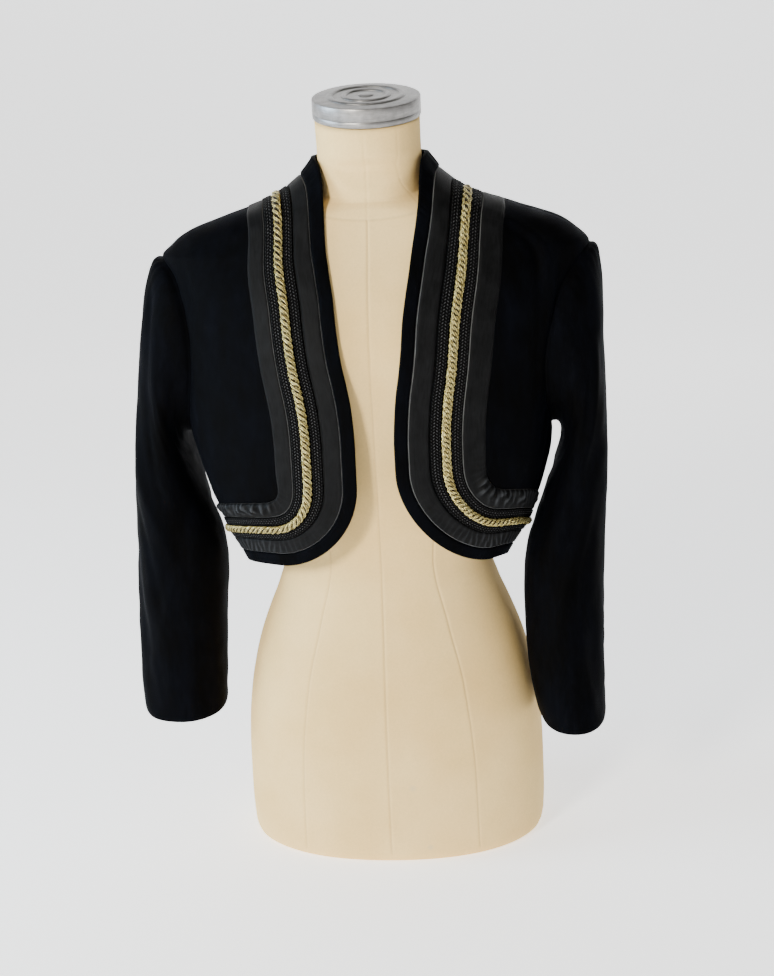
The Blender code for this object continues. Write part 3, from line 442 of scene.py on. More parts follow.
def piece_of(name: str, patches: list[Patch], capped: bool = False) -> bpy.types.Object:
    """A mesh object made of patches, with a UV map of the flat cloth in metres.

    Args:
        name: The piece's name.
        patches: Patches that share their outermost points where they meet.
        capped: Whether the first and last ring are closed with a fan.

    Returns:
        The new object, smooth and at the origin.
    """
    points, quads, uvs, start = [], [], [], 0
    for patch in patches:
        faces, flats = patch.faces()
        points.append(patch.points.reshape(-1, 3))
        quads += (faces + start).tolist()
        uvs += patch.flat.reshape(-1, 2)[flats].reshape(-1, 2).tolist()
        if capped:
            columns = patch.points.shape[1]
            last = start + patch.points[..., 0].size - columns
            for ring, row in ((range(start, start + columns), 0), (range(last, last + columns), -1)):
                quads.append(list(ring))
                uvs += patch.flat[row, :columns].tolist()
        start += patch.points[..., 0].size
    mesh = bpy.data.meshes.new(name)
    mesh.from_pydata(np.concatenate(points).tolist(), [], quads)
    layer = mesh.uv_layers.new(name="cut")
    layer.data.foreach_set("uv", np.array(uvs, np.float32).ravel())
    shade = mesh.attributes.new("groove", "FLOAT", "POINT")
    grooves = np.concatenate([patch.grooves() for patch in patches])
    shade.data.foreach_set("value", grooves.astype(np.float32))
    made = bpy.data.objects.new(name, mesh)
    bpy.context.scene.collection.objects.link(made)
    work = bmesh.new()
    work.from_mesh(mesh)
    bmesh.ops.remove_doubles(work, verts=work.verts, dist=0.00001)
    bmesh.ops.dissolve_degenerate(work, edges=work.edges, dist=0.00001)
    if capped:
        bmesh.ops.recalc_face_normals(work, faces=work.faces)
    work.to_mesh(mesh)
    work.free()
    mesh.shade_smooth()
    return made


def make_active(piece: bpy.types.Object) -> None:
    """Deselects everything, then selects one object and makes it active."""
    bpy.ops.object.select_all(action="DESELECT")
    piece.select_set(True)
    bpy.context.view_layer.objects.active = piece


def give_wall(piece: bpy.types.Object, thickness: float) -> None:
    """Gives a sheet its thickness, inwards from its outer side."""
    make_active(piece)
    wall = piece.modifiers.new("wall", "SOLIDIFY")
    wall.thickness = thickness
    wall.offset = -1
    wall.use_rim = True
    bpy.ops.object.modifier_apply(modifier=wall.name)
    bpy.ops.object.shade_smooth_by_angle(angle=math.radians(50))


def stand_in(piece: bpy.types.Object, node: str, finish: bpy.types.Material) -> None:
    """Dresses a piece and lets it take the place of a node of the same part."""
    piece.data.materials.clear()
    piece.data.materials.append(finish)
    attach(piece, BODY)
    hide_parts(node)
    LOG.info("%s: %d faces", piece.name, len(piece.data.polygons))


def declare_sheet(
    patches: list[Patch]
) -> None:
    """Works out the size and area of its patches laid flat, and leaves them unused."""
    flats = np.concatenate([patch.flat.reshape(-1, 2) for patch in patches])
    width, length = flats.max(axis=0) - flats.min(axis=0)
    area = min(sum(patch.flat_area() for patch in patches), width * length)


@dataclass(frozen=True)
class Crease:
    """A soft trough or ridge. Angles are in degrees, and a negative depth is a trough.

    On the body it lies at a height, and on a sleeve at a ring's number.
    """

    along: float
    angle: float
    half_along: float
    half_angle: float
    depth: float
    lean: float

    def lift(self, degrees: np.ndarray, along: np.ndarray, wraps: bool = False) -> np.ndarray:
        """How far it lifts or sinks each place, all round where it wraps."""
        apart = along - self.along
        away = degrees - self.angle - self.lean * apart
        if wraps:
            away = (away + 180) % 360 - 180
        return self.depth * np.exp(-((away / self.half_angle) ** 2) - (apart / self.half_along) ** 2)


BODY_CREASES = {
    # height, angle, half_height, half_angle, depth, lean
    Side.RIGHT: (
        (0.6, 74.0, 0.055, 7.0, -0.0045, -60.0),
        (0.47, 62.0, 0.06, 6.0, 0.0035, 40.0),
        (0.425, 78.0, 0.045, 5.0, -0.004, 30.0),
        (0.47, 112.0, 0.07, 8.0, -0.0035, -50.0),
        (0.45, 146.0, 0.06, 7.0, 0.003, 30.0),
        (0.545, 66.0, 0.05, 2.6, -0.0016, -70.0),
        (0.64, 56.0, 0.03, 3.0, -0.0014, 90.0),
        (0.52, 70.0, 0.034, 2.4, 0.0013, -30.0),
        (0.415, 60.0, 0.03, 2.6, -0.0013, 50.0),
        (0.56, 120.0, 0.05, 3.6, -0.0018, 40.0),
        (0.64, 134.0, 0.04, 4.0, 0.0014, -60.0),
        (0.56, 158.0, 0.06, 3.2, -0.0015, -20.0),
    ),
    Side.LEFT: (
        (0.59, 66.0, 0.06, 6.0, -0.004, -80.0),
        (0.48, 58.0, 0.055, 6.0, 0.003, 60.0),
        (0.44, 76.0, 0.04, 5.0, -0.0035, 30.0),
        (0.48, 116.0, 0.065, 8.0, -0.0035, -40.0),
        (0.46, 150.0, 0.055, 7.0, 0.003, 30.0),
        (0.62, 60.0, 0.05, 2.8, -0.0018, -60.0),
        (0.54, 72.0, 0.036, 2.6, 0.0014, -40.0),
        (0.48, 68.0, 0.03, 2.4, -0.0013, 40.0),
        (0.55, 56.0, 0.034, 2.6, -0.0012, -90.0),
        (0.57, 124.0, 0.054, 3.4, -0.0017, 50.0),
        (0.65, 138.0, 0.036, 4.0, 0.0013, -50.0),
        (0.54, 162.0, 0.05, 3.0, -0.0014, 25.0),
        (0.655, 47.0, 0.045, 2.4, -0.0034, -95.0),
        (0.655, 52.0, 0.04, 2.8, 0.0022, -95.0),
    ),
}
SLEEVE_CREASES = {
    # ring, angle, half_rings, half_angle, depth, lean: the largest as in the solids, then finer ones
    Side.RIGHT: (
        (5.5, 62.0, 2.6, 20.0, -0.005, 6.0),
        (9.5, 48.0, 2.4, 17.0, 0.0045, 9.0),
        (11.5, 100.0, 2.2, 18.0, -0.0055, -10.0),
        (14.5, 35.0, 2.6, 16.0, -0.0045, 7.0),
        (12.5, 232.0, 2.4, 20.0, -0.005, 9.0),
        (7.0, 300.0, 2.6, 20.0, -0.0045, -7.0),
        (3.6, 40.0, 1.0, 9.0, -0.0022, 10.0),
        (8.4, 74.0, 1.8, 7.0, -0.0016, 8.0),
        (10.4, 66.0, 2.0, 8.0, 0.0018, 12.0),
        (12.4, 60.0, 1.9, 7.0, -0.002, 9.0),
        (13.6, 84.0, 1.3, 9.0, 0.0016, -8.0),
        (16.4, 70.0, 1.2, 8.0, -0.0012, 5.0),
        (10.8, 215.0, 1.6, 10.0, -0.0022, 10.0),
        (11.8, 262.0, 1.2, 9.0, 0.0018, -9.0),
        (14.2, 250.0, 1.7, 8.0, -0.0016, 6.0),
        (5.6, 330.0, 1.6, 8.0, -0.0016, -8.0),
    ),
    Side.LEFT: (
        (5.0, 70.0, 2.4, 20.0, -0.0045, 6.0),
        (8.8, 40.0, 2.6, 17.0, 0.0035, -8.0),
        (11.0, 84.0, 2.0, 18.0, -0.005, 9.0),
        (15.0, 50.0, 2.4, 16.0, -0.0035, -6.0),
        (12.0, 236.0, 2.4, 20.0, -0.005, -9.0),
        (7.5, 296.0, 2.6, 20.0, -0.0045, 7.0),
        (4.2, 54.0, 1.4, 8.0, -0.0018, -9.0),
        (7.2, 66.0, 1.8, 8.0, 0.0016, 9.0),
        (9.6, 98.0, 1.4, 8.0, -0.0018, -10.0),
        (12.6, 60.0, 1.8, 7.0, -0.0018, 7.0),
        (13.4, 92.0, 1.2, 8.0, 0.0015, 8.0),
        (16.8, 64.0, 1.3, 9.0, -0.0012, -5.0),
        (10.2, 222.0, 1.6, 9.0, -0.002, -9.0),
        (13.2, 258.0, 1.4, 9.0, 0.0016, 8.0),
        (6.0, 325.0, 1.5, 8.0, -0.0015, 8.0),
    ),
}


@dataclass
class JacketBody:
    """The smooth surface around the form that every panel of the body lies on."""

    tip_height: float = 0.672
    underarm_height: float = 0.475
    neck_height: float = 0.772
    armhole_front_depth: float = 0.076
    armhole_back_depth: float = 0.066
    quarter_steps: int = 120
    slope_turn: float = 0.003
    slope_rise: float = 0.0006

    def sizes(self, side: Side, heights: np.ndarray | float) -> tuple[np.ndarray, ...]:
        """Half width, front depth, back depth and squareness of the section at each height."""
        half = RIGHT_HALF if side is Side.RIGHT else LEFT_HALF
        columns = (half, FRONT_DEPTH, BACK_DEPTH, SQUARENESS)
        return tuple(smooth_column(BODY_SECTIONS, column, heights) for column in columns)

    def base(self, side: Side, angles: np.ndarray, heights: np.ndarray) -> np.ndarray:
        """Points of the surface before its folds."""
        half, front, back, squareness = self.sizes(side, heights)
        power = 2 / squareness
        across = np.abs(np.sin(angles)) ** power
        deep = np.abs(np.cos(angles)) ** power
        y = np.where(np.cos(angles) >= 0, -front * deep, back * deep)
        return np.stack([side.value * half * across, y, heights + 0 * y], -1)

    def lift(self, side: Side, angles: np.ndarray, heights: np.ndarray) -> np.ndarray:
        """How far the creases lift or sink the surface."""
        degrees = np.degrees(angles)
        return sum(Crease(*row).lift(degrees, heights) for row in BODY_CREASES[side])

    def slopes(
        self,
        point_at: Callable[[Side, np.ndarray, np.ndarray], np.ndarray],
        side: Side,
        angles: np.ndarray,
        heights: np.ndarray,
    ) -> np.ndarray:
        """Outward directions of a surface given by angle and height."""
        turn, rise = self.slope_turn, self.slope_rise
        along = point_at(side, angles + turn, heights) - point_at(side, angles - turn, heights)
        up = point_at(side, angles, heights + rise) - point_at(side, angles, heights - rise)
        return unit(np.cross(along, up)) * side.value

    def at(self, side: Side, angles: np.ndarray, heights: np.ndarray) -> np.ndarray:
        """Points of the surface, folds included."""
        base = self.base(side, angles, heights)
        lift = self.lift(side, angles, heights)
        return base + self.slopes(self.base, side, angles, heights) * lift[..., None]

    def quarter(self, side: Side, heights: np.ndarray, from_back: bool) -> tuple:
        """Angles of a quarter section, and the distance along it at each of them."""
        turns = np.linspace(0, math.pi / 2, self.quarter_steps + 1)
        angles = math.pi - turns if from_back else turns
        points = self.base(side, angles[None, :], np.asarray(heights, float)[:, None])
        steps = np.linalg.norm(np.diff(points, axis=1), axis=2)
        return angles, row_sums(steps)

    def girth(self, side: Side, height: float, from_back: bool = False) -> float:
        """Distance from the centre front or back to the side seam or shoulder ridge."""
        return float(self.quarter(side, np.array([height]), from_back)[1][0, -1])

    def place(
        self, side: Side, places: np.ndarray, from_back: bool = False
    ) -> tuple[np.ndarray, np.ndarray]:
        """Points and outward directions of flat places.

        Args:
            side: The wearer's side.
            places: (run, height) in the last axis.
            from_back: Whether the runs start at the centre back.

        Returns:
            Points and outward directions, shaped as the places.
        """
        shape = places.shape[:-1]
        runs, heights = places[..., 0].ravel(), places[..., 1].ravel()
        angles, table = self.quarter(side, heights, from_back)
        found = np.array([np.interp(run, row, angles) for run, row in zip(runs, table)])
        points = self.at(side, found, heights)
        normals = self.slopes(self.at, side, found, heights)
        return points.reshape(*shape, 3), normals.reshape(*shape, 3)

    def run_of_distance(self, side: Side, distance: float, height: float) -> float:
        """Run of the front surface's place that lies this far from the middle."""
        half, _, _, squareness = self.sizes(side, height)
        angle = math.asin(min(1.0, distance / half) ** (squareness / 2))
        angles, table = self.quarter(side, np.array([height]), False)
        return float(np.interp(angle, angles, table[0]))

    def heights_along(
        self, side: Side, start: float, end: float, distances: np.ndarray | float
    ) -> tuple[np.ndarray, float]:
        """Heights on the side seam or ridge at these distances from its start, and its length."""
        heights = np.linspace(start, end, 401)
        halves = self.sizes(side, heights)[0]
        along = distances_along(np.stack([halves, heights], -1))
        return np.interp(distances, along, heights), float(along[-1])

    def seam_place(self, side: Side, height: float, from_back: bool = False) -> np.ndarray:
        """(run, height) of a place on the side or shoulder seam, half a gap back."""
        return np.array([self.girth(side, height, from_back) - HALF_GAP, height])

    def armhole(self, side: Side, from_back: bool, cells: int) -> np.ndarray:
        """(run, height) along half the armhole, from the shoulder tip to the underarm."""
        middle = (self.tip_height + self.underarm_height) / 2
        reach = (self.tip_height - self.underarm_height) / 2
        depth = self.armhole_back_depth if from_back else self.armhole_front_depth
        places = []
        for turn in np.linspace(0, math.pi, cells + 1):
            height = middle + reach * math.cos(turn)
            run, _ = self.seam_place(side, height, from_back)
            places.append((run - depth * math.sin(turn), height))
        return np.array(places)


def coons_patch(
    bottom: np.ndarray, top: np.ndarray, left: np.ndarray, right: np.ndarray
) -> np.ndarray:
    """Places inside four boundary lines, one row for each step up."""
    across = np.linspace(0, 1, len(bottom))[None, :, None]
    upward = np.linspace(0, 1, len(left))[:, None, None]
    sides = (1 - across) * left[:, None] + across * right[:, None]
    ends = (1 - upward) * bottom[None] + upward * top[None]
    corners = (
        (1 - across) * (1 - upward) * bottom[0]
        + across * (1 - upward) * bottom[-1]
        + (1 - across) * upward * top[0]
        + across * upward * top[-1]
    )
    return sides + ends - corners


@dataclass(frozen=True)
class FrontCut:
    """What differs between the two fronts."""

    edge: tuple
    corner_radius: float
    corner_height: float
    corner_squareness: float
    side_hem_height: float
    shoulder_ease: float


FRONT_CUTS = {
    Side.RIGHT: FrontCut(EDGE_RIGHT, 0.090, 0.437, 2.0, 0.328, 0.012),
    Side.LEFT: FrontCut(EDGE_LEFT, 0.104, 0.449, 1.82, 0.323, 0.008),
}


@dataclass
class Pattern:
    """The paper pattern of the body: seams, hems and the border's lines, laid flat."""

    body: JacketBody
    fineness: int = 6
    back_hem_drop: float = 0.004
    fan_height: float = 0.665
    fan_power: float = 0.7
    crowding: float = 1.35
    rounding_passes: int = 12
    rounding_step: float = 0.002

    @property
    def hem_cells(self) -> int:
        """Cells along the hem, from the side seam to the round corner."""
        return 5 * self.fineness

    @property
    def corner_cells(self) -> int:
        """Cells round the lower corner."""
        return 6 * self.fineness

    @property
    def edge_cells(self) -> int:
        """Cells up the opening's edge."""
        return 12 * self.fineness

    @property
    def field_cells(self) -> int:
        """Cells across the plain part of a front."""
        return self.hem_cells + self.corner_cells // 2

    def steps(self, side: Side, at_hem: bool = False) -> np.ndarray:
        """Distances of the border's seams from the free edge."""
        widths = [strip.width(side) * (strip.hem_share if at_hem else 1.0) for strip in BORDER]
        return row_sums(np.array([widths]))[0]

    def side_heights(self, side: Side) -> np.ndarray:
        """Heights of the border's seams where they end at the side seam."""
        start = FRONT_CUTS[side].side_hem_height
        steps = self.steps(side, at_hem=True)
        return self.body.heights_along(side, start, self.body.underarm_height, steps)[0]

    def ridge_heights(self, side: Side, distances: np.ndarray | float) -> tuple[np.ndarray, float]:
        """Heights along the shoulder ridge at these distances from the neck, and its length."""
        body = self.body
        return body.heights_along(side, body.neck_height, body.tip_height, distances)

    def shoulder_steps(self, side: Side) -> np.ndarray:
        """Distances of the border's seams from the neck, along the shoulder seam."""
        steps = self.steps(side)
        steps[1:] += FRONT_CUTS[side].shoulder_ease
        return steps

    def edge(self, side: Side) -> np.ndarray:
        """(run, height) along a front's free edge, from the side seam to the neck."""
        body, shape = self.body, FRONT_CUTS[side]
        rows, radius, centre_height = shape.edge, shape.corner_radius, shape.corner_height
        start = float(smooth_column(rows, 1, centre_height))
        centre_run = body.run_of_distance(side, start, centre_height) + radius
        side_height = shape.side_hem_height
        side_run = body.seam_place(side, side_height)[0]
        bottom = centre_height - radius
        hem = [
            (
                side_run + (centre_run - side_run) * part,
                side_height + (bottom - side_height) * math.sin(part * math.pi / 2),
            )
            for part in np.linspace(0, 1, self.hem_cells + 1)[:-1]
        ]
        power = 2 / shape.corner_squareness
        corner = [
            (
                centre_run - radius * math.sin(turn) ** power,
                centre_height - radius * math.cos(turn) ** power,
            )
            for turn in np.linspace(0, math.pi / 2, self.corner_cells + 1)[:-1]
        ]
        bend, top = rows[-3][0], rows[-1][0]
        heights = np.concatenate(
            [
                np.linspace(centre_height, bend, 121)[:-1],
                top - (top - bend) * np.linspace(1, 0, 121) ** 2,
            ]
        )
        distances = smooth_column(rows, 1, heights)
        runs = [body.run_of_distance(side, d, h) for d, h in zip(distances, heights)]
        fine = np.stack([runs, heights], -1)
        fine[-1] = body.seam_place(side, body.neck_height)
        along = distances_along(fine)
        parts = np.linspace(0, 1, self.edge_cells + 1)
        wanted = along[-1] * (self.crowding * parts + (1 - self.crowding) * parts**2)
        return np.concatenate([hem, corner, read_along(wanted, along, fine)])

    def border_lines(self, side: Side) -> np.ndarray:
        """(run, height) of the border: one row for each step along the edge, one column a seam."""
        body, edge = self.body, self.edge(side)
        inward = np.gradient(edge, axis=0)
        inward = unit(np.stack([inward[:, 1], -inward[:, 0]], -1))
        full, eased = self.steps(side), self.steps(side, at_hem=True)
        side_seam = np.array([body.seam_place(side, h) for h in self.side_heights(side)])
        heights, _ = self.ridge_heights(side, self.shoulder_steps(side))
        shoulder = np.array([body.seam_place(side, h) for h in heights])
        along = distances_along(edge)
        fan_start = int(np.argmax(edge[:, 1] > self.fan_height))
        rows = []
        for number, (place, direction) in enumerate(zip(edge, inward)):
            hem_share = float(smooth_step(1 - number / self.hem_cells))
            past = (along[number] - along[fan_start]) / (along[-1] - along[fan_start])
            neck_share = min(max(past, 0.0), 1.0) ** self.fan_power
            heading = inward[fan_start] if number > fan_start else direction
            left = self.hem_cells + self.corner_cells - number
            widths = full + (eased - full) * smooth_step(left / self.corner_cells)
            rows.append(
                place
                + (1 - hem_share - neck_share) * widths[:, None] * heading
                + hem_share * (side_seam - side_seam[0])
                + neck_share * (shoulder - shoulder[0])
            )
        return self.rounded(np.array(rows))

    def rounded(self, rows: np.ndarray) -> np.ndarray:
        """The border's lines with their inner corners rounded, the innermost the most."""
        for column in range(2, rows.shape[1]):
            line = rows[:, column]
            along = distances_along(line)
            fine, places = resample(line[:, None], self.rounding_step, 0)
            soft = fine[:, 0]
            for _ in range(self.rounding_passes * (column - 1)):
                soft[1:-1] = (soft[:-2] + 2 * soft[1:-1] + soft[2:]) / 4
            rows[:, column] = read_along(along, places, soft)
        return rows

    def side_line(self, side: Side, from_back: bool) -> np.ndarray:
        """(run, height) up the side seam and the armhole above the border."""
        body, cells = self.body, 3 * self.fineness
        heights = np.linspace(self.side_heights(side)[-1], body.underarm_height, cells + 1)[:-1]
        seam = np.array([body.seam_place(side, height, from_back) for height in heights])
        armhole = body.armhole(side, from_back, 12 * self.fineness)
        return np.concatenate([seam, armhole[::-1]])

    def shoulder_line(self, side: Side, from_back: bool) -> np.ndarray:
        """(run, height) along the shoulder seam from the tip to the border."""
        _, length = self.ridge_heights(side, 0.0)
        distances = np.linspace(length, self.shoulder_steps(side)[-1], self.field_cells + 1)
        heights, _ = self.ridge_heights(side, distances)
        heights[0] = self.body.tip_height
        return np.array([self.body.seam_place(side, h, from_back) for h in heights])

    def back_side_line(self, side: Side) -> np.ndarray:
        """(run, height) up one side of the back, from the hem to the neck."""
        seam_place = self.body.seam_place
        hem = np.array([seam_place(side, h, True) for h in self.side_heights(side)[:-1]])
        neck_heights, _ = self.ridge_heights(side, self.shoulder_steps(side)[::-1])
        neck = np.array([seam_place(side, h, True) for h in neck_heights])
        side_line = self.side_line(side, True)[:-1]
        shoulder = self.shoulder_line(side, True)[:-1]
        return np.concatenate([hem, side_line, shoulder, neck])


def nearest(places: np.ndarray, line: np.ndarray) -> np.ndarray:
    """Distance from each flat place to the nearest point of a line."""
    flat = places.reshape(-1, 1, 2)
    fine, _ = resample(line[:, None], 0.002, 0)
    gaps = np.linalg.norm(flat - fine[:, 0][None], axis=2).min(axis=1)
    return gaps.reshape(places.shape[:-1])


def seam_sink(distances: np.ndarray, depth: float = 0.0011, reach: float = 0.0032) -> np.ndarray:
    """How far cloth dips towards a seam, or rolls at a turned edge."""
    return -depth * swell(distances, 0.0, reach)


class Nodes:
    """A short way to lay out a material's nodes."""

    def __init__(self, name: str) -> None:
        """Starts a material with a Principled shader."""
        self.material = bpy.data.materials.new(name)
        self.material.use_nodes = True
        self.tree = self.material.node_tree
        self.shader = self.tree.nodes["Principled BSDF"]

    def add(self, kind: str, inputs: dict | None = None, **settings) -> bpy.types.Node:
        """Adds a node.

        Args:
            kind: The node's type, without its ShaderNode prefix.
            inputs: Values or sockets for its inputs, by name or number.
            **settings: Attributes of the node.

        Returns:
            The new node.
        """
        node = self.tree.nodes.new("ShaderNode" + kind)
        for key, value in settings.items():
            setattr(node, key, value)
        for key, value in (inputs or {}).items():
            if isinstance(value, Socket):
                self.tree.links.new(value, node.inputs[key])
            else:
                node.inputs[key].default_value = value
        return node

    def flat(self) -> Socket:
        """The place on the flat cloth, in metres."""
        return self.add("UVMap", uv_map="cut").outputs["UV"]

    def place(self) -> Socket:
        """The place on the object, in metres."""
        return self.add("TexCoord").outputs["Object"]

    def groove(self) -> Socket:
        """How deep in a crevice the place lies, from 0 to 1."""
        return self.add("Attribute", attribute_name="groove").outputs["Fac"]

    def noise(
        self, where: Socket, scale: float, detail: float = 3.0, rough: float = 0.5
    ) -> Socket:
        """Noise with this many bumps a metre."""
        inputs = {"Vector": where, "Scale": scale, "Detail": detail, "Roughness": rough}
        return self.add("TexNoise", inputs).outputs["Fac"]

    def stretched(self, where: Socket, scale: tuple[float, float, float]) -> Socket:
        """Places drawn out or in along each axis."""
        return self.add("Mapping", {"Vector": where, "Scale": scale}).outputs[0]

    def ranged(
        self, value: Socket, low: float, high: float, start: float = 0.0, end: float = 1.0
    ) -> Socket:
        """A value moved from the range from start to end into the one from low to high."""
        inputs = {"Value": value, "From Min": start, "From Max": end, "To Min": low, "To Max": high}
        return self.add("MapRange", inputs).outputs[0]

    def waves(self, value: Socket, per_metre: float) -> Socket:
        """Sine waves, so many a metre."""
        return self.maths("SINE", self.maths("MULTIPLY", value, per_metre * math.tau))

    def ramp(self, value: Socket, stops: list[tuple[float, tuple[float, ...]]]) -> Socket:
        """A colour ramp with these stops."""
        node = self.add("ValToRGB", {"Fac": value})
        elements = node.color_ramp.elements
        while len(elements) < len(stops):
            elements.new(0.5)
        for element, (position, colour) in zip(elements, stops):
            element.position = position
            element.color = (*colour, 1.0)
        return node.outputs["Color"]

    def maths(self, operation: str, *values: Socket | float) -> Socket:
        """A Math node's result."""
        return self.add("Math", dict(enumerate(values)), operation=operation).outputs[0]

    def mix(
        self,
        factor: Socket | float,
        first: Socket | Colour,
        second: Socket | Colour,
        blend: str = "MIX",
    ) -> Socket:
        """Two colours mixed."""
        node = self.add("Mix", data_type="RGBA", blend_type=blend)
        for key, value in ((0, factor), (6, first), (7, second)):
            if isinstance(value, Socket):
                self.tree.links.new(value, node.inputs[key])
            elif key == 0:
                node.inputs[key].default_value = value
            else:
                node.inputs[key].default_value = (*value, 1.0)
        return node.outputs[2]

    def bump(
        self, height: Socket, strength: float, distance: float, before: Socket | None = None
    ) -> Socket:
        """Adds relief, over another bump where one is given."""
        inputs = {"Height": height, "Strength": strength, "Distance": distance}
        if before is not None:
            inputs["Normal"] = before
        return self.add("Bump", inputs).outputs["Normal"]

    def dress(self, constants: dict, **linked: Socket) -> bpy.types.Material:
        """Sets the shader's own sockets, links the others and gives the material back."""
        for name, value in constants.items():
            self.shader.inputs[name].default_value = value
        for name, socket in linked.items():
            self.tree.links.new(socket, self.shader.inputs[name.replace("_", " ")])
        return self.material


@dataclass(frozen=True)
class Velvet:
    """Black silk velvet: a deep pile with a cool sheen and faint crushed patches, whose lighter bluish
    colour is painted sheen.
    """

    pile: Colour = (0.0003, 0.0003, 0.0004)
    # The brushed colour is painted sheen: the nap's cool highlight, laid into the base colour
    brushed: Colour = (0.0008, 0.0010, 0.0018)
    sheen: float = 0.011

    def make(self) -> bpy.types.Material:
        """The material."""
        nodes = Nodes("velvet")
        place = nodes.place()
        stretched = nodes.stretched(place, (1.0, 1.0, 0.32))
        crushed = nodes.noise(stretched, 34.0, 4.0, 0.55)
        streaks = nodes.noise(stretched, 170.0, 3.0, 0.6)
        pile = nodes.noise(place, 2600.0, 2.0, 0.7)
        patches = nodes.maths("MULTIPLY_ADD", streaks, 0.35, crushed)
        # Painted sheen: the crushed and streaked patches run from the pile's black up to twice the
        # brushed colour
        colour = nodes.ramp(
            patches,
            [(0.52, self.pile), (0.74, self.brushed), (0.95, tuple(2.0 * c for c in self.brushed))],
        )
        rough = nodes.ranged(crushed, 0.62, 0.88)
        relief = nodes.bump(crushed, 0.25, 0.0012)
        relief = nodes.bump(pile, 0.5, 0.0003, relief)
        return nodes.dress(
            {
                "Specular IOR Level": 0.028,
                "Sheen Weight": self.sheen,
                "Sheen Roughness": 0.34,
                "Sheen Tint": (0.42, 0.55, 0.90, 1.0),
            },
            Base_Color=colour,
            Roughness=rough,
            Normal=relief,
        )


@dataclass(frozen=True)
class RibbonWeave:
    """Charcoal taffeta ribbon with fine cross ribs, a painted highlight line along its outer edge, and
    painted highlight and shade on its puckers.
    """

    name: str
    width: float
    cloth: Colour = (0.0022, 0.0023, 0.0024)
    mottle: Colour = (0.0060, 0.0062, 0.0067)
    # A painted highlight: the pale line along the outer edge
    edge_highlight: Colour = (0.190, 0.195, 0.195)
    # Painted highlight on the puckers' crests, then painted shade in their troughs
    painted_relief_shading: Colour = (0.045, 0.048, 0.053)
    trough: Colour = (0.0006, 0.0006, 0.0006)
    edge_highlight_width: float = 0.0012
    ribs_a_metre: float = 1500.0

    def make(self) -> bpy.types.Material:
        """The material."""
        nodes = Nodes(self.name)
        flat = nodes.flat()
        split = nodes.add("SeparateXYZ", {"Vector": flat})
        across, along = split.outputs[0], split.outputs[1]
        patches = nodes.noise(nodes.place(), 60.0, 4.0, 0.6)
        long_way = nodes.stretched(flat, (1.0, 0.12, 1.0))
        streaks = nodes.noise(long_way, 520.0, 2.0, 0.6)
        blend = nodes.maths("MULTIPLY_ADD", streaks, 0.5, nodes.maths("MULTIPLY", patches, 0.6))
        colour = nodes.ramp(blend, [(0.40, self.cloth), (0.72, self.mottle)])
        # Painted highlight on the puckers' crests and painted shade in their troughs, read from the
        # groove measure
        folds = nodes.groove()
        high = nodes.ranged(folds, 0.0, 1.0, 0.5, 0.0)
        deep = nodes.ranged(folds, 0.0, 1.0, 0.5, 1.0)
        colour = nodes.mix(high, colour, self.painted_relief_shading)
        colour = nodes.mix(deep, colour, self.trough)
        # Painted highlight: a pale line along the outer edge, broken up by the streaks
        line = nodes.maths("LESS_THAN", across, self.edge_highlight_width)
        colour = nodes.mix(nodes.maths("MULTIPLY", line, streaks), colour, self.edge_highlight)
        ribs = nodes.waves(along, self.ribs_a_metre)
        relief = nodes.bump(ribs, 0.12, 0.0002)
        relief = nodes.bump(streaks, 0.2, 0.0004, relief)
        rough = nodes.ranged(patches, 0.46, 0.66)
        return nodes.dress(
            {"Specular IOR Level": 0.06, "Sheen Weight": 0.015, "Sheen Roughness": 0.4},
            Base_Color=colour,
            Roughness=rough,
            Normal=relief,
        )


@dataclass(frozen=True)
class BraidYarn:
    """Black plaited yarn, with painted glints on the yarns' crowns and painted shade in the crevices
    between them.
    """

    yarn: Colour = (0.0012, 0.0012, 0.0014)
    # The raised colour is a painted glint on the yarns' crowns, and the crevice colour is painted shade
    # in the hollows
    raised: Colour = (0.0950, 0.0950, 0.0980)
    crevice: Colour = (0.0003, 0.0003, 0.0003)

    def make(self) -> bpy.types.Material:
        """The material."""
        nodes = Nodes("braid")
        flat = nodes.flat()
        fibres = nodes.noise(flat, 2400.0, 2.0, 0.6)
        fleck = nodes.noise(flat, 300.0, 2.0, 0.6)
        # Painted glints where the groove measure is low and painted shade where it is high
        painted_relief_shading = nodes.ramp(
            nodes.groove(),
            [(0.0, self.raised), (0.20, self.yarn), (0.48, self.crevice)],
        )
        colour = nodes.mix(nodes.ramp(fleck, [(0.35, (0.7,) * 3), (0.62, (0.0,) * 3)]), painted_relief_shading, self.yarn)
        rough = nodes.ranged(fleck, 0.66, 0.36)
        return nodes.dress(
            {"Specular IOR Level": 0.04},
            Base_Color=colour,
            Roughness=rough,
            Normal=nodes.bump(fibres, 0.45, 0.0003),
        )


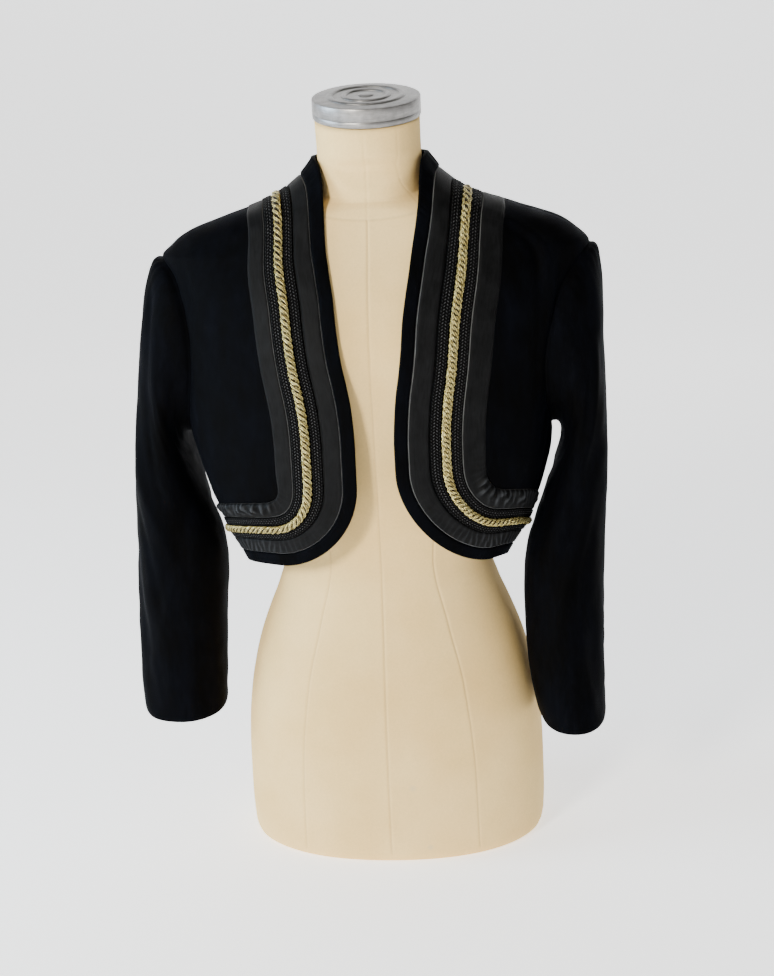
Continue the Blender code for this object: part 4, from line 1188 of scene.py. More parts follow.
@dataclass(frozen=True)
class GoldThread:
    """Pale gold metallic thread wound round a core, bright and dull in random patches, with painted
    highlight and shade in stripes along each wrap and painted shade in its crevices.
    """

    # bright is the gold's own colour; dull is a darker gold that stands for painted shade along the
    # wraps and also lies in random patches; crevice is painted shade
    bright: Colour = (1.0, 0.92, 0.44)
    dull: Colour = (0.30, 0.20, 0.02)
    crevice: Colour = (0.022, 0.014, 0.002)
    turns_a_metre: float = 900.0

    def make(self) -> bpy.types.Material:
        """The material."""
        nodes = Nodes("gold")
        flat = nodes.flat()
        split = nodes.add("SeparateXYZ", {"Vector": flat})
        mottle = nodes.noise(nodes.place(), 240.0, 4.0, 0.6)
        fine = nodes.noise(flat, 1900.0, 2.0, 0.6)
        slant = nodes.maths("MULTIPLY_ADD", split.outputs[0], 0.9, split.outputs[1])
        winding = nodes.waves(slant, self.turns_a_metre)
        blend = nodes.maths("MULTIPLY_ADD", fine, 0.35, nodes.maths("MULTIPLY", mottle, 0.55))
        # Painted highlight and shade: the winding stripes make part of each wrap bright and the rest
        # dull
        blend = nodes.maths("MULTIPLY_ADD", winding, 0.14, blend)
        colour = nodes.ramp(blend, [(0.38, self.dull), (0.60, self.bright)])
        # Painted shade in the crevices between strands and plies, from the groove measure
        colour = nodes.mix(nodes.groove(), colour, self.crevice)
        rough = nodes.ranged(mottle, 0.15, 0.36)
        relief = nodes.bump(winding, 0.60, 0.0003)
        relief = nodes.bump(fine, 0.70, 0.0004, relief)
        return nodes.dress(
            {"Metallic": 0.60, "Specular IOR Level": 0.6},
            Base_Color=colour,
            Roughness=rough,
            Normal=relief,
        )


@dataclass(frozen=True)
class FormCover:
    """Cream jersey stretched over the form, a little soiled, with two faint stains and painted shade in
    its sewn seams.
    """

    clean: Colour = (0.89, 0.635, 0.275)
    soiled: Colour = (0.80, 0.545, 0.21)
    # Painted shade, for the grooves of the sewn seams
    crease: Colour = (0.36, 0.27, 0.16)
    stain: Colour = (0.50, 0.43, 0.33)
    stains: tuple[tuple[float, float, float, float], ...] = (
        # x, y, z, radius
        (0.026, -0.118, 0.09, 0.006),
        (0.043, -0.117, 0.018, 0.005),
    )
    threads_a_metre: float = 900.0

    def make(self) -> bpy.types.Material:
        """The material."""
        nodes = Nodes("form_cover")
        place, flat = nodes.place(), nodes.flat()
        clouds = nodes.noise(place, 7.0, 4.0, 0.55)
        specks = nodes.noise(place, 420.0, 3.0, 0.7)
        colour = nodes.ramp(clouds, [(0.35, self.soiled), (0.62, self.clean)])
        grain = nodes.ramp(specks, [(0.30, (0.86, 0.86, 0.86)), (0.70, (1.0, 1.0, 1.0))])
        colour = nodes.mix(0.6, colour, grain, "MULTIPLY")
        for x, y, z, radius in self.stains:
            apart = nodes.add("VectorMath", {0: place, 1: (x, y, z)}, operation="DISTANCE")
            near = nodes.ranged(apart.outputs["Value"], 0.35, 0.0, 0.0, radius)
            near.node.interpolation_type = "SMOOTHSTEP"
            colour = nodes.mix(near, colour, self.stain)
        # Painted shade in the sewn seams and the neck seam, from the groove measure
        sewn = nodes.maths("MULTIPLY", nodes.groove(), 0.24)
        colour = nodes.mix(sewn, colour, self.crease)
        split = nodes.add("SeparateXYZ", {"Vector": flat})
        warp, weft = (nodes.waves(split.outputs[k], self.threads_a_metre) for k in (0, 1))
        weave = nodes.maths("MULTIPLY", warp, weft)
        relief = nodes.bump(weave, 0.18, 0.0003)
        relief = nodes.bump(specks, 0.15, 0.0004, relief)
        return nodes.dress(
            {"Roughness": 0.86, "Specular IOR Level": 0.12, "Sheen Weight": 0.04},
            Base_Color=colour,
            Normal=relief,
        )


@dataclass(frozen=True)
class TurnedMetal:
    """Brushed grey metal, turned in fine circles."""

    colour: Colour = (0.34, 0.33, 0.32)
    dark: Colour = (0.18, 0.175, 0.17)

    def make(self, settle: Matrix) -> bpy.types.Material:
        """The material.

        Args:
            settle: What brings the cap's axis back to the upright one through the origin.

        Returns:
            The material, brushed along its turned circles.
        """
        nodes = Nodes("cap_metal")
        place = nodes.place()
        back = {"Location": settle.to_translation(), "Rotation": settle.to_euler()}
        upright = nodes.add("Mapping", {"Vector": place, **back}).outputs[0]
        disc = nodes.stretched(upright, (1.0, 1.0, 0.0))
        radius = nodes.add("VectorMath", {0: disc}, operation="LENGTH").outputs["Value"]
        split = nodes.add("SeparateXYZ", {"Vector": upright})
        run = nodes.maths("ADD", radius, split.outputs[2])
        slow = [nodes.maths("MULTIPLY", split.outputs[number], 0.04) for number in (0, 1)]
        circles = nodes.add("CombineXYZ", {0: run, 1: slow[0], 2: slow[1]}).outputs[0]
        brushed = nodes.noise(circles, 1600.0, 3.0, 0.6)
        spots = nodes.noise(place, 90.0, 4.0, 0.6)
        blend = nodes.maths("MULTIPLY_ADD", spots, 0.5, nodes.maths("MULTIPLY", brushed, 0.5))
        colour = nodes.ramp(blend, [(0.35, self.dark), (0.65, self.colour)])
        rough = nodes.ranged(brushed, 0.34, 0.50)
        return nodes.dress(
            {"Metallic": 0.9},
            Base_Color=colour,
            Roughness=rough,
            Normal=nodes.bump(brushed, 0.12, 0.0002),
        )


@dataclass(frozen=True)
class Paper:
    """The studio's pale paper."""

    shade: Colour = (0.90, 0.90, 0.90)
    glow: float = 1.45

    def make(self) -> bpy.types.Material:
        """The material."""
        nodes = Nodes("studio_paper")
        constants = {
            "Base Color": (*self.shade, 1.0),
            "Roughness": 0.95,
            "Emission Color": (*self.shade, 1.0),
            "Emission Strength": self.glow,
        }
        return nodes.dress(constants)


# The turned edge of a band: how far out and how far up, over it and back under it
TURN_OVER = ((0.0009, 0.0008), (0.0014, -0.0004), (0.0009, -0.0018), (0.0002, -0.0023))
TURN_UNDER = ((0.00015, -0.0019), (0.00015, 0.0001))


def turned_edge(edge: np.ndarray, outward: np.ndarray, up: np.ndarray, steps: int) -> np.ndarray:
    """Columns of points that take a band over its free edge and back under it."""
    turns = TURN_OVER[:steps] + TURN_UNDER
    return np.stack([edge + outward * reach + up * rise for reach, rise in turns], 1)


def band_crown(places: np.ndarray) -> np.ndarray:
    """How full a band is: 1 up to place 0, then rounded down to 0 at place 1."""
    return np.sqrt(np.clip(1 - np.clip(places, 0, 1) ** 6, 0, 1))


@dataclass
class Bodice:
    """The two fronts and the back."""

    pattern: Pattern
    velvet: bpy.types.Material
    back_cells: int = 84
    ruffle_fade: float = 0.01
    front_ruffle: float = 0.0005
    back_ruffle: float = 0.0006

    def front(self, side: Side) -> bpy.types.Object:
        """One front, with a shallow dip at each seam."""
        body, pattern = self.pattern.body, self.pattern
        border = pattern.border_lines(side)
        turn_row = pattern.field_cells
        side_line = pattern.side_line(side, False)
        shoulder = pattern.shoulder_line(side, False)
        inner_line = border[:, -1]
        plain = coons_patch(
            bottom=inner_line[: turn_row + 1][::-1],
            top=shoulder[::-1],
            left=inner_line[turn_row:],
            right=side_line,
        )
        patches = []
        for places in (border, plain):
            points, normals = body.place(side, places)
            sink = 0.0
            if places is plain:
                sink = seam_sink(nearest(places, side_line)) + seam_sink(nearest(places, shoulder))
                ruffled = soft_noise(places[..., 0], places[..., 1], 0.016, 7 + side.value)
                fade = smooth_step(nearest(places, inner_line) / self.ruffle_fade)
                sink = sink + self.front_ruffle * ruffled * fade
                points = points + normals * sink[..., None]
            patches.append(Patch(points, places, normals))
        name = f"front_{side.label}"
        piece = piece_of(f"velvet_{name}", patches)
        give_wall(piece, CLOTH)
        stand_in(piece, name, self.velvet)
        declare_sheet(patches)
        return piece

    def back(self) -> tuple[np.ndarray, np.ndarray]:
        """The back. Gives the points and directions of its two neck rows."""
        body, pattern = self.pattern.body, self.pattern
        right = pattern.back_side_line(Side.RIGHT) * (-1, 1)
        left = pattern.back_side_line(Side.LEFT)
        part = np.linspace(0, 1, self.back_cells + 1)
        hem = right[0] + (left[0] - right[0]) * part[:, None]
        hem[:, 1] -= pattern.back_hem_drop * np.sin(math.pi * part)
        neck = right[-1] + (left[-1] - right[-1]) * part[:, None]
        places = coons_patch(hem, neck, right, left)
        points = np.zeros((*places.shape[:2], 3))
        normals = np.zeros_like(points)
        for side in Side:
            chosen = places[..., 0] < 0 if side is Side.RIGHT else places[..., 0] >= 0
            flat = places[chosen] * (side.value, 1)
            points[chosen], normals[chosen] = body.place(side, flat, True)
        sink = sum(seam_sink(nearest(places, line)) for line in (hem, left, right))
        sink = sink + self.back_ruffle * soft_noise(places[..., 0], places[..., 1], 0.022, 5)
        neck_rows = points[-2:].copy(), normals[-2:].copy()
        settled = smooth_step((places[-2, :, 1] - places[..., 1]) / self.ruffle_fade)
        points = points + normals * (sink * settled)[..., None]
        patches = [Patch(points, places, normals)]
        piece = piece_of("velvet_back", patches)
        give_wall(piece, CLOTH)
        stand_in(piece, "back", self.velvet)
        declare_sheet(patches)
        return neck_rows


@dataclass
class SetInSleeve:
    """One long sleeve, eased into its armhole and open at the cuff."""

    side: Side
    body: JacketBody
    velvet: bpy.types.Material
    squareness: float = 2.15
    settle_rings: float = 6.0
    fold_start: float = 4.0
    cuff_drop: float = 0.008
    cuff_drop_rings: float = 6.0
    half_cells: int = 72
    rings_a_row: int = 6
    allowance: float = 0.0060
    gather_length: float = 0.0115
    gather_height: float = 0.00055
    gather_place: float = 0.008
    gather_reach: float = 0.014
    head_height: float = 0.0010
    head_place: float = 0.009
    head_reach: float = 0.008
    ruffle_height: float = 0.0007
    fine_height: float = 0.00025
    ruffle_fade: float = 0.03

    def armhole_ring(self) -> tuple[np.ndarray, np.ndarray]:
        """Points and directions round the armhole, from the shoulder tip over the front."""
        halves = []
        for from_back in (False, True):
            line = self.body.armhole(self.side, from_back, self.half_cells)
            halves.append(self.body.place(self.side, line, from_back))
        (front, front_out), (back, back_out) = halves
        first = np.concatenate([front, back[-2:0:-1]])
        return first, np.concatenate([front_out, back_out[-2:0:-1]])

    def rings(self) -> tuple[np.ndarray, np.ndarray]:
        """Rings from the armhole to the cuff, and their outward directions."""
        table = SLEEVE_RIGHT if self.side is Side.RIGHT else SLEEVE_LEFT
        last = table[-1][0]
        numbers = np.linspace(0, last, last * self.rings_a_row + 1)
        columns = [smooth_column(table, k, numbers)[:, None] for k in range(1, 7)]
        inner, inner_height, outer, outer_height, middle_y, half_depth = columns
        turns = circle_turns(2 * self.half_cells)
        power = 2 / self.squareness
        cosines = signed_power(np.cos(turns), power)[None]
        sines = signed_power(np.sin(turns), power)[None]
        x = self.side.value * ((outer + inner) / 2 + (outer - inner) / 2 * cosines)
        z = (outer_height + inner_height) / 2 + (outer_height - inner_height) / 2 * cosines
        past = (numbers[:, None] - last - 1 + self.cuff_drop_rings) / self.cuff_drop_rings
        z = z - self.cuff_drop * smooth_step(past) * sines
        rings = np.stack([x, middle_y - half_depth * sines, z], -1)
        first, first_out = self.armhole_ring()
        settle = (1 - smooth_step(numbers / self.settle_rings))[:, None, None]
        rings = rings + (first - rings[0]) * settle
        normals = tube_directions(rings)
        degrees = np.degrees(turns)[None, :]
        lift = 0.0
        for row in SLEEVE_CREASES[self.side]:
            lift = lift + Crease(*row).lift(degrees, numbers[:, None], wraps=True)
        lift = lift * smooth_step(numbers / self.fold_start)[:, None]
        rings = rings + normals * lift[..., None]
        normals = tube_directions(rings)
        normals[0] = first_out
        return rings, normals

    def make(self) -> bpy.types.Object:
        """The sleeve, with eased gathers at its head and rolled edges."""
        rings, normals = self.rings()
        around = row_sums(np.linalg.norm(np.roll(rings, -1, axis=1) - rings, axis=2))
        down = row_sums(np.linalg.norm(np.diff(rings, axis=0), axis=2).mean(axis=1)[None])[0]
        flat = grid_of(around, down)
        turns = circle_turns(rings.shape[1])
        head = 0.5 + 0.5 * np.cos(turns)
        pleats = np.sin(around[0, :-1] / self.gather_length * math.tau + 2 * np.sin(3 * turns))
        gathers = self.gather_height * pleats * head
        from_seam = down[:, None]
        lift = gathers[None] * swell(from_seam, self.gather_place, self.gather_reach)
        full = swell(from_seam, self.head_place, self.head_reach)
        lift = lift + self.head_height * head[None] * full
        lift = lift * smooth_step(from_seam / 0.006)
        lift = lift + seam_sink(from_seam) + seam_sink(down[-1] - from_seam, 0.0008, 0.0026)
        ruffled = soft_noise(around[:, :-1], flat[:, :-1, 1], 0.020, 11 + self.side.value)
        fine = soft_noise(around[:, :-1], flat[:, :-1, 1] * 0.5, 0.009, 13 + self.side.value)
        ruffles = self.ruffle_height * ruffled + self.fine_height * fine
        lift = lift + ruffles * smooth_step(from_seam / self.ruffle_fade)
        rings = rings + normals * lift[..., None]
        turned = rings[:1] - normals[:1] * self.allowance
        rings = np.concatenate([turned, rings])
        normals = np.concatenate([normals[:1], normals])
        flat = np.concatenate([flat[:1] - (0, self.allowance), flat])
        patch = Patch(rings, flat, normals, closed=True)
        name = f"sleeve_{self.side.label}"
        piece = piece_of(f"velvet_{name}", [patch])
        give_wall(piece, CLOTH)
        stand_in(piece, name, self.velvet)
        declare_sheet([patch])
        return piece


@dataclass
class Border:
    """The band, ribbons, braids and gold cord that lie on one front."""

    side: Side
    pattern: Pattern
    finishes: dict[str, bpy.types.Material]
    ribbon_step: float = 0.0022
    corner_place: float = 0.075
    corner_reach: float = 0.060
    pucker_length: float = 0.0062
    pucker_height: float = 0.00085
    ripple_height: float = 0.00035
    bulge_height: float = 0.00045
    crumple_length: float = 0.0095
    crumple_slant: float = 0.010
    crumple_middle: float = 0.62
    crumple_half_width: float = 0.34
    band_corner_place: float = 0.100
    band_flare: tuple[float, float] = (0.72, 0.22)
    rib_length: float = 0.0046
    rib_height: float = 0.00060
    braid_uneven: float = 0.12
    band_step: float = 0.0020
    under_cells: int = 5
    braid_pitch: float = 0.0033
    braid_rows_a_pitch: int = 7
    braid_lanes: int = 4
    braid_slope: float = 0.75
    braid_relief: float = 0.0011
    cord_step: float = 0.00055
    crumples: tuple[tuple[float, float, float], ...] = (
        # distance from the side seam, reach, height
        (0.04, 0.007, 0.0028),
        (0.078, 0.007, 0.0024),
        (0.1, 0.008, 0.003),
        (0.117, 0.007, 0.0038),
        (0.133, 0.006, 0.0044),
    )

    def lines(self) -> np.ndarray:
        """The border's seam lines, laid flat."""
        return self.pattern.border_lines(self.side)

    def width(self, number: int) -> float:
        """Full width of one strip."""
        return BORDER[number].width(self.side)

    def surface(
        self, number: int, step: float, across: np.ndarray, lean: np.ndarray | float = 0.0
    ) -> tuple[np.ndarray, np.ndarray, np.ndarray]:
        """Places of one strip on the body.

        Args:
            number: The strip's row in the border's table.
            step: Distance between rows.
            across: Places across the strip, 0 at its outer line and 1 at its inner one.
            lean: How far each place across leans back along the strip, in metres.

        Returns:
            Points, outward directions and flat places (across, along) in metres.
        """
        pair = self.lines()[:, [number, number + 1]]
        middle = pair.mean(axis=1)
        rows, along = resample(np.concatenate([pair, middle[:, None]], axis=1), step, 2)
        width = self.width(number)
        kept = along[along <= along[-1] - BORDER[number].end(self.side)]
        wanted = kept[:, None] - (lean + 0 * across)[None]
        wanted = np.clip(wanted, 0.0, kept[-1])
        inset = HALF_GAP / width
        parts = inset + (1 - 2 * inset) * across
        first = read_along(wanted, along, rows[:, 0])
        second = read_along(wanted, along, rows[:, 1])
        places = first + (second - first) * parts[None, :, None]
        points, normals = self.pattern.body.place(self.side, places)
        flat = np.stack([np.broadcast_to(across[None] * width, wanted.shape), wanted], -1)
        return points, normals, flat

    def strip(
        self,
        number: int,
        points: np.ndarray,
        normals: np.ndarray,
        flat: np.ndarray,
        lift: np.ndarray,
        slot: str,
        groove: np.ndarray | None = None,
    ) -> bpy.types.Object:
        """A closed strip: its lifted top, and a plain underside a seam's gap above the front."""
        kind = BORDER[number].name
        name = f"{kind}_{self.side.label}"
        top = points + normals * (SEAM_GAP + lift)[..., None]
        back = np.linspace(points.shape[1] - 1, 0, self.under_cells + 1).astype(int)
        under = (points + normals * SEAM_GAP)[:, back[1:-1]]
        under_flat = flat[:, back[1:]].copy()
        under_flat[..., 0] = 2 * flat[..., 0].max() - under_flat[..., 0]
        rings = np.concatenate([top, under], axis=1)
        around = np.concatenate([flat, under_flat], axis=1)
        shade = None
        if groove is not None:
            # The underside gets the deepest groove measure, so it is painted in full shade
            shade = np.concatenate([groove, np.ones(under.shape[:2])], axis=1)
        patch = Patch(rings, around, closed=True, groove=shade)
        piece = piece_of(f"{slot}_{name}", [patch], capped=True)
        stand_in(piece, name, self.finishes[kind])
        float(self.width(number))
        length_along(points)
        return piece

    def ribbon(self, number: int) -> bpy.types.Object:
        """A ribbon puckered where it is eased round the corner. The outer one is crumpled there."""
        across = np.linspace(0, 1, 13)
        points, normals, flat = self.surface(number, self.ribbon_step, across)
        x, y = flat[..., 0], flat[..., 1]
        inner = BORDER[number].name == "inner_ribbon"
        edges = 1 - np.abs(2 * across[None] - 1) ** 10
        lift = BORDER[number].thickness * np.sqrt(np.clip(edges, 0, 1)) + 0 * x
        corner = swell(y, self.corner_place, self.corner_reach)
        share = across[None] if not inner else 1 - 0.6 * across[None]
        stray = 2.2 * soft_noise(x, y, 0.014, 21 + number)
        pucker = np.sin(y / self.pucker_length * math.tau + stray)
        rounded_off = np.clip(edges, 0, 1)
        folds = 0.75 * corner * share * pucker
        lift = lift + self.pucker_height * corner * share * pucker * rounded_off
        wave = soft_noise(x * 2.0, y, 0.017, 31 + number + self.side.value)
        long_wave = soft_noise(x * 0.5, y, 0.045, 41 + number + self.side.value)
        ripples = self.ripple_height * wave + self.bulge_height * (1 + long_wave)
        lift = lift + ripples * rounded_off
        if not inner:
            for place, reach, height in self.crumples:
                bump = swell(y - place, self.crumple_slant * across[None], reach)
                ridge = swell(across[None], self.crumple_middle, self.crumple_half_width)
                twist = 4.5 * soft_noise(x * 1.6, y, 0.016, 51 + self.side.value)
                ripple = np.sin(y / self.crumple_length * math.tau + across[None] * 4.0 + twist)
                lift = lift + height * bump * ridge * (1 + 0.6 * ripple) * rounded_off
                folds = folds + 0.9 * bump * ridge * ripple
        # Painted highlight on the folds' crests, where the groove measure is below 0.5, and painted
        # shade in their troughs, where it is above
        groove = np.clip(0.5 - 0.5 * folds, 0, 1)
        return self.strip(number, points, normals, flat, lift, "ribbon", groove)

    def braid(self, number: int) -> bpy.types.Object:
        """A flat plait: lanes of slanting yarns that meet in chevrons."""
        across = np.linspace(0, 1, 6 * self.braid_lanes + 1)
        step = self.braid_pitch / self.braid_rows_a_pitch
        lane = across * self.braid_lanes
        zigzag = 1 - np.abs(lane % 2 - 1)
        lean = self.braid_slope * self.width(number) / self.braid_lanes * zigzag
        points, normals, flat = self.surface(number, step, across, lean)
        thickness = BORDER[number].thickness
        turns = np.arange(len(points))[:, None] / self.braid_rows_a_pitch
        turns = turns + 0.5 * (np.floor(lane) % 2)[None]
        yarn = np.abs(np.sin(math.pi * turns)) ** 0.8
        beside = np.abs(2 * (lane % 1) - 1)[None] ** 3
        away = np.abs(2 * across[None] - 1)
        crown = np.sqrt(np.clip(1 - away**6, 0, 1)) * (1 - 0.30 * beside)
        uneven = 1 + self.braid_uneven * soft_noise(flat[..., 0], flat[..., 1], 0.006, 51 + number)
        lift = thickness * crown * uneven - self.braid_relief * (1 - yarn) * crown
        # The groove measure paints glints on the yarns' crowns and shade in the hollows between yarns,
        # at the lanes' borders and at the edges
        groove = np.clip(1.1 * (1 - yarn) + 0.7 * beside + away**8, 0, 1)
        return self.strip(number, points, normals, flat, lift, "braid", groove)

    def band(self) -> bpy.types.Object:
        """The velvet band, which rolls over the front's raw edge."""
        across = np.linspace(0, 1, 12)
        points, normals, flat = self.surface(0, self.band_step, across)
        y = flat[..., 1]
        length, thickness, width = y.max(), BORDER[0].thickness, self.width(0)
        outward = -unit(points[:, 1] - points[:, 0])
        start, fade = self.band_flare
        neck = smooth_step((y - start * length) / (fade * length))
        corner = swell(y, self.band_corner_place, self.corner_reach)
        stray = 2.5 * soft_noise(flat[..., 0], y, 0.012, 61)
        ribs = np.sin(y / self.rib_length * math.tau + stray)
        crown = band_crown(2 * across[None] - 1)
        lift = thickness * crown * (1 + 0.10 * soft_noise(flat[..., 0], y, 0.010, 62))
        lift = lift + self.rib_height * ribs * np.maximum(neck, 0.6 * corner) * crown
        top = points + normals * (SEAM_GAP + lift)[..., None]
        turned = turned_edge(points[:, 0], outward, normals[:, 0], 4)
        under = points[:, 1:] + normals[:, 1:] * UNDERSIDE
        loop = np.concatenate([top[:, ::-1], turned, under[:, :-1]], axis=1)
        columns = np.linspace(0, 2.2 * width, loop.shape[1] + 1)
        around = grid_of(columns, y[:, 0])
        piece = piece_of(
            f"velvet_edge_band_{self.side.label}", [Patch(loop, around, closed=True)], capped=True
        )
        stand_in(piece, f"edge_band_{self.side.label}", self.finishes["edge_band"])
        length_along(points)
        return piece

    def cord(self) -> bpy.types.Object:
        """The gold cord: a three-strand rope, laid the other way and more ragged on the left."""
        number = 3
        points, normals, flat = self.surface(number, self.cord_step, np.array([0.0, 0.5, 1.0]))
        along = flat[:, 1, 1]
        breadth = points[:, 2] - points[:, 0]
        half_width = np.linalg.norm(breadth, axis=1, keepdims=True) / 2 - HALF_GAP
        sideways = unit(breadth)
        up = normals[:, 1]
        style = CORD_STYLES[self.side]
        thick = style.strand
        lower = SEAM_GAP + UNDERSIDE + thick * style.flattened + style.swing_up
        middle = points[:, 1] + up * lower
        narrow = np.clip(half_width / (self.width(number) / 2), 0.5, 1.0)
        ends = np.minimum(along, along[-1] - along)[:, None]
        narrow = narrow * (0.55 + 0.45 * smooth_step(ends / 0.006))
        patches = []
        for strand in range(3):
            phase = math.tau * (along / style.lay + strand / 3)[:, None]
            side_swing, rise = style.swing(phase)
            wobble = 1 + 0.06 * soft_noise(along, 0 * along + strand, 0.013, 71 + strand)[:, None]
            ragged = 1 + style.ragged * soft_noise(along, 0 * along, 0.0032, 81 + strand)[:, None]
            reach = (self.width(number) / 2 - HALF_GAP - thick) * narrow
            centres = middle + sideways * side_swing * reach * wobble + up * rise * narrow
            forward = unit(np.gradient(centres, axis=0))
            first = unit(np.cross(up, forward))
            second = np.cross(forward, first)
            turns = circle_turns(style.sides)
            lobes = 1 + style.lobe * np.cos(
                style.plies * turns[None] + math.tau * along[:, None] / style.ply_lay
            )
            radius = thick * narrow * lobes * ragged
            ring = (
                centres[:, None]
                + first[:, None] * (radius * np.cos(turns[None]))[..., None]
                + second[:, None] * (radius * style.flattened * np.sin(turns[None]))[..., None]
            )
            columns = np.linspace(0, math.tau * thick, style.sides + 1)
            around = grid_of(columns, along)
            # The groove measure paints shade where a strand faces in towards the others and between its
            # plies
            away = unit(centres - middle + up * 0.0005)
            exposed = (unit(ring - centres[:, None]) * away[:, None]).sum(axis=-1)
            groove = 1 - smooth_step((exposed - 0.05) / 0.70)
            between = 0.5 - 0.5 * (lobes - 1) / style.lobe
            groove = np.clip(groove + 0.80 * between**2, 0, 1)
            patches.append(Patch(ring, around, closed=True, groove=groove))
        name = f"gold_cord_{self.side.label}"
        piece = piece_of(f"gold_{name}", patches, capped=True)
        stand_in(piece, name, self.finishes["gold_cord"])
        return piece

    def make(self) -> None:
        """All six pieces, from the edge inwards."""
        self.band()
        self.ribbon(1)
        self.braid(2)
        self.cord()
        self.braid(4)
        self.ribbon(5)


@dataclass(frozen=True)
class CordStyle:
    """How one gold cord is laid up."""

    lay: float
    strand: float
    flattened: float
    swing_up: float
    turn_way: int
    ply_lay: float
    lobe: float = 0.26
    plies: int = 5
    sides: int = 20
    ragged: float = 0.0

    def swing(self, phase: np.ndarray) -> tuple[np.ndarray, np.ndarray]:
        """How far a strand lies to the side, as a share, and how far up, in metres."""
        return np.cos(phase), -self.turn_way * self.swing_up * np.sin(phase)


CORD_STYLES = {
    Side.RIGHT: CordStyle(0.0180, 0.00205, 0.85, 0.0014, 1, 0.0090),
    Side.LEFT: CordStyle(0.0156, 0.00205, 0.80, 0.0013, -1, -0.0075, ragged=0.16),
}


@dataclass
class NeckBand:
    """The velvet band round the back of the neck."""

    points: np.ndarray
    normals: np.ndarray
    velvet: bpy.types.Material
    rib_length: float = 0.0062
    rib_height: float = 0.00025

    def make(self) -> bpy.types.Object:
        """A closed strip that rolls over the neck's edge."""
        lower, upper = self.points
        lower_out, upper_out = self.normals
        parts = np.linspace(0.02, 1, 10)[:, None, None]
        base = (lower + (upper - lower) * parts).transpose(1, 0, 2)
        out = unit((lower_out + (upper_out - lower_out) * parts).transpose(1, 0, 2))
        run = distances_along(upper)
        crown = band_crown(1 - 2 * parts[:, 0, 0])
        ribs = self.rib_height * np.sin(run / self.rib_length * math.tau)
        lift = SEAM_GAP + BORDER[0].thickness * crown[None] + ribs[:, None] * crown[None]
        top = base + out * lift[..., None]
        upward = unit(upper - lower)
        under = (base + out * UNDERSIDE)[:, ::-1][:, 1:-1]
        loop = np.concatenate([top, turned_edge(upper, upward, upper_out, 3), under], axis=1)
        width = BORDER[0].right_width
        columns = np.linspace(0, 2.2 * width, loop.shape[1] + 1)
        around = grid_of(columns, run)
        piece = piece_of("velvet_neck_band_back", [Patch(loop, around, closed=True)], capped=True)
        stand_in(piece, "neck_band_back", self.velvet)
        return piece


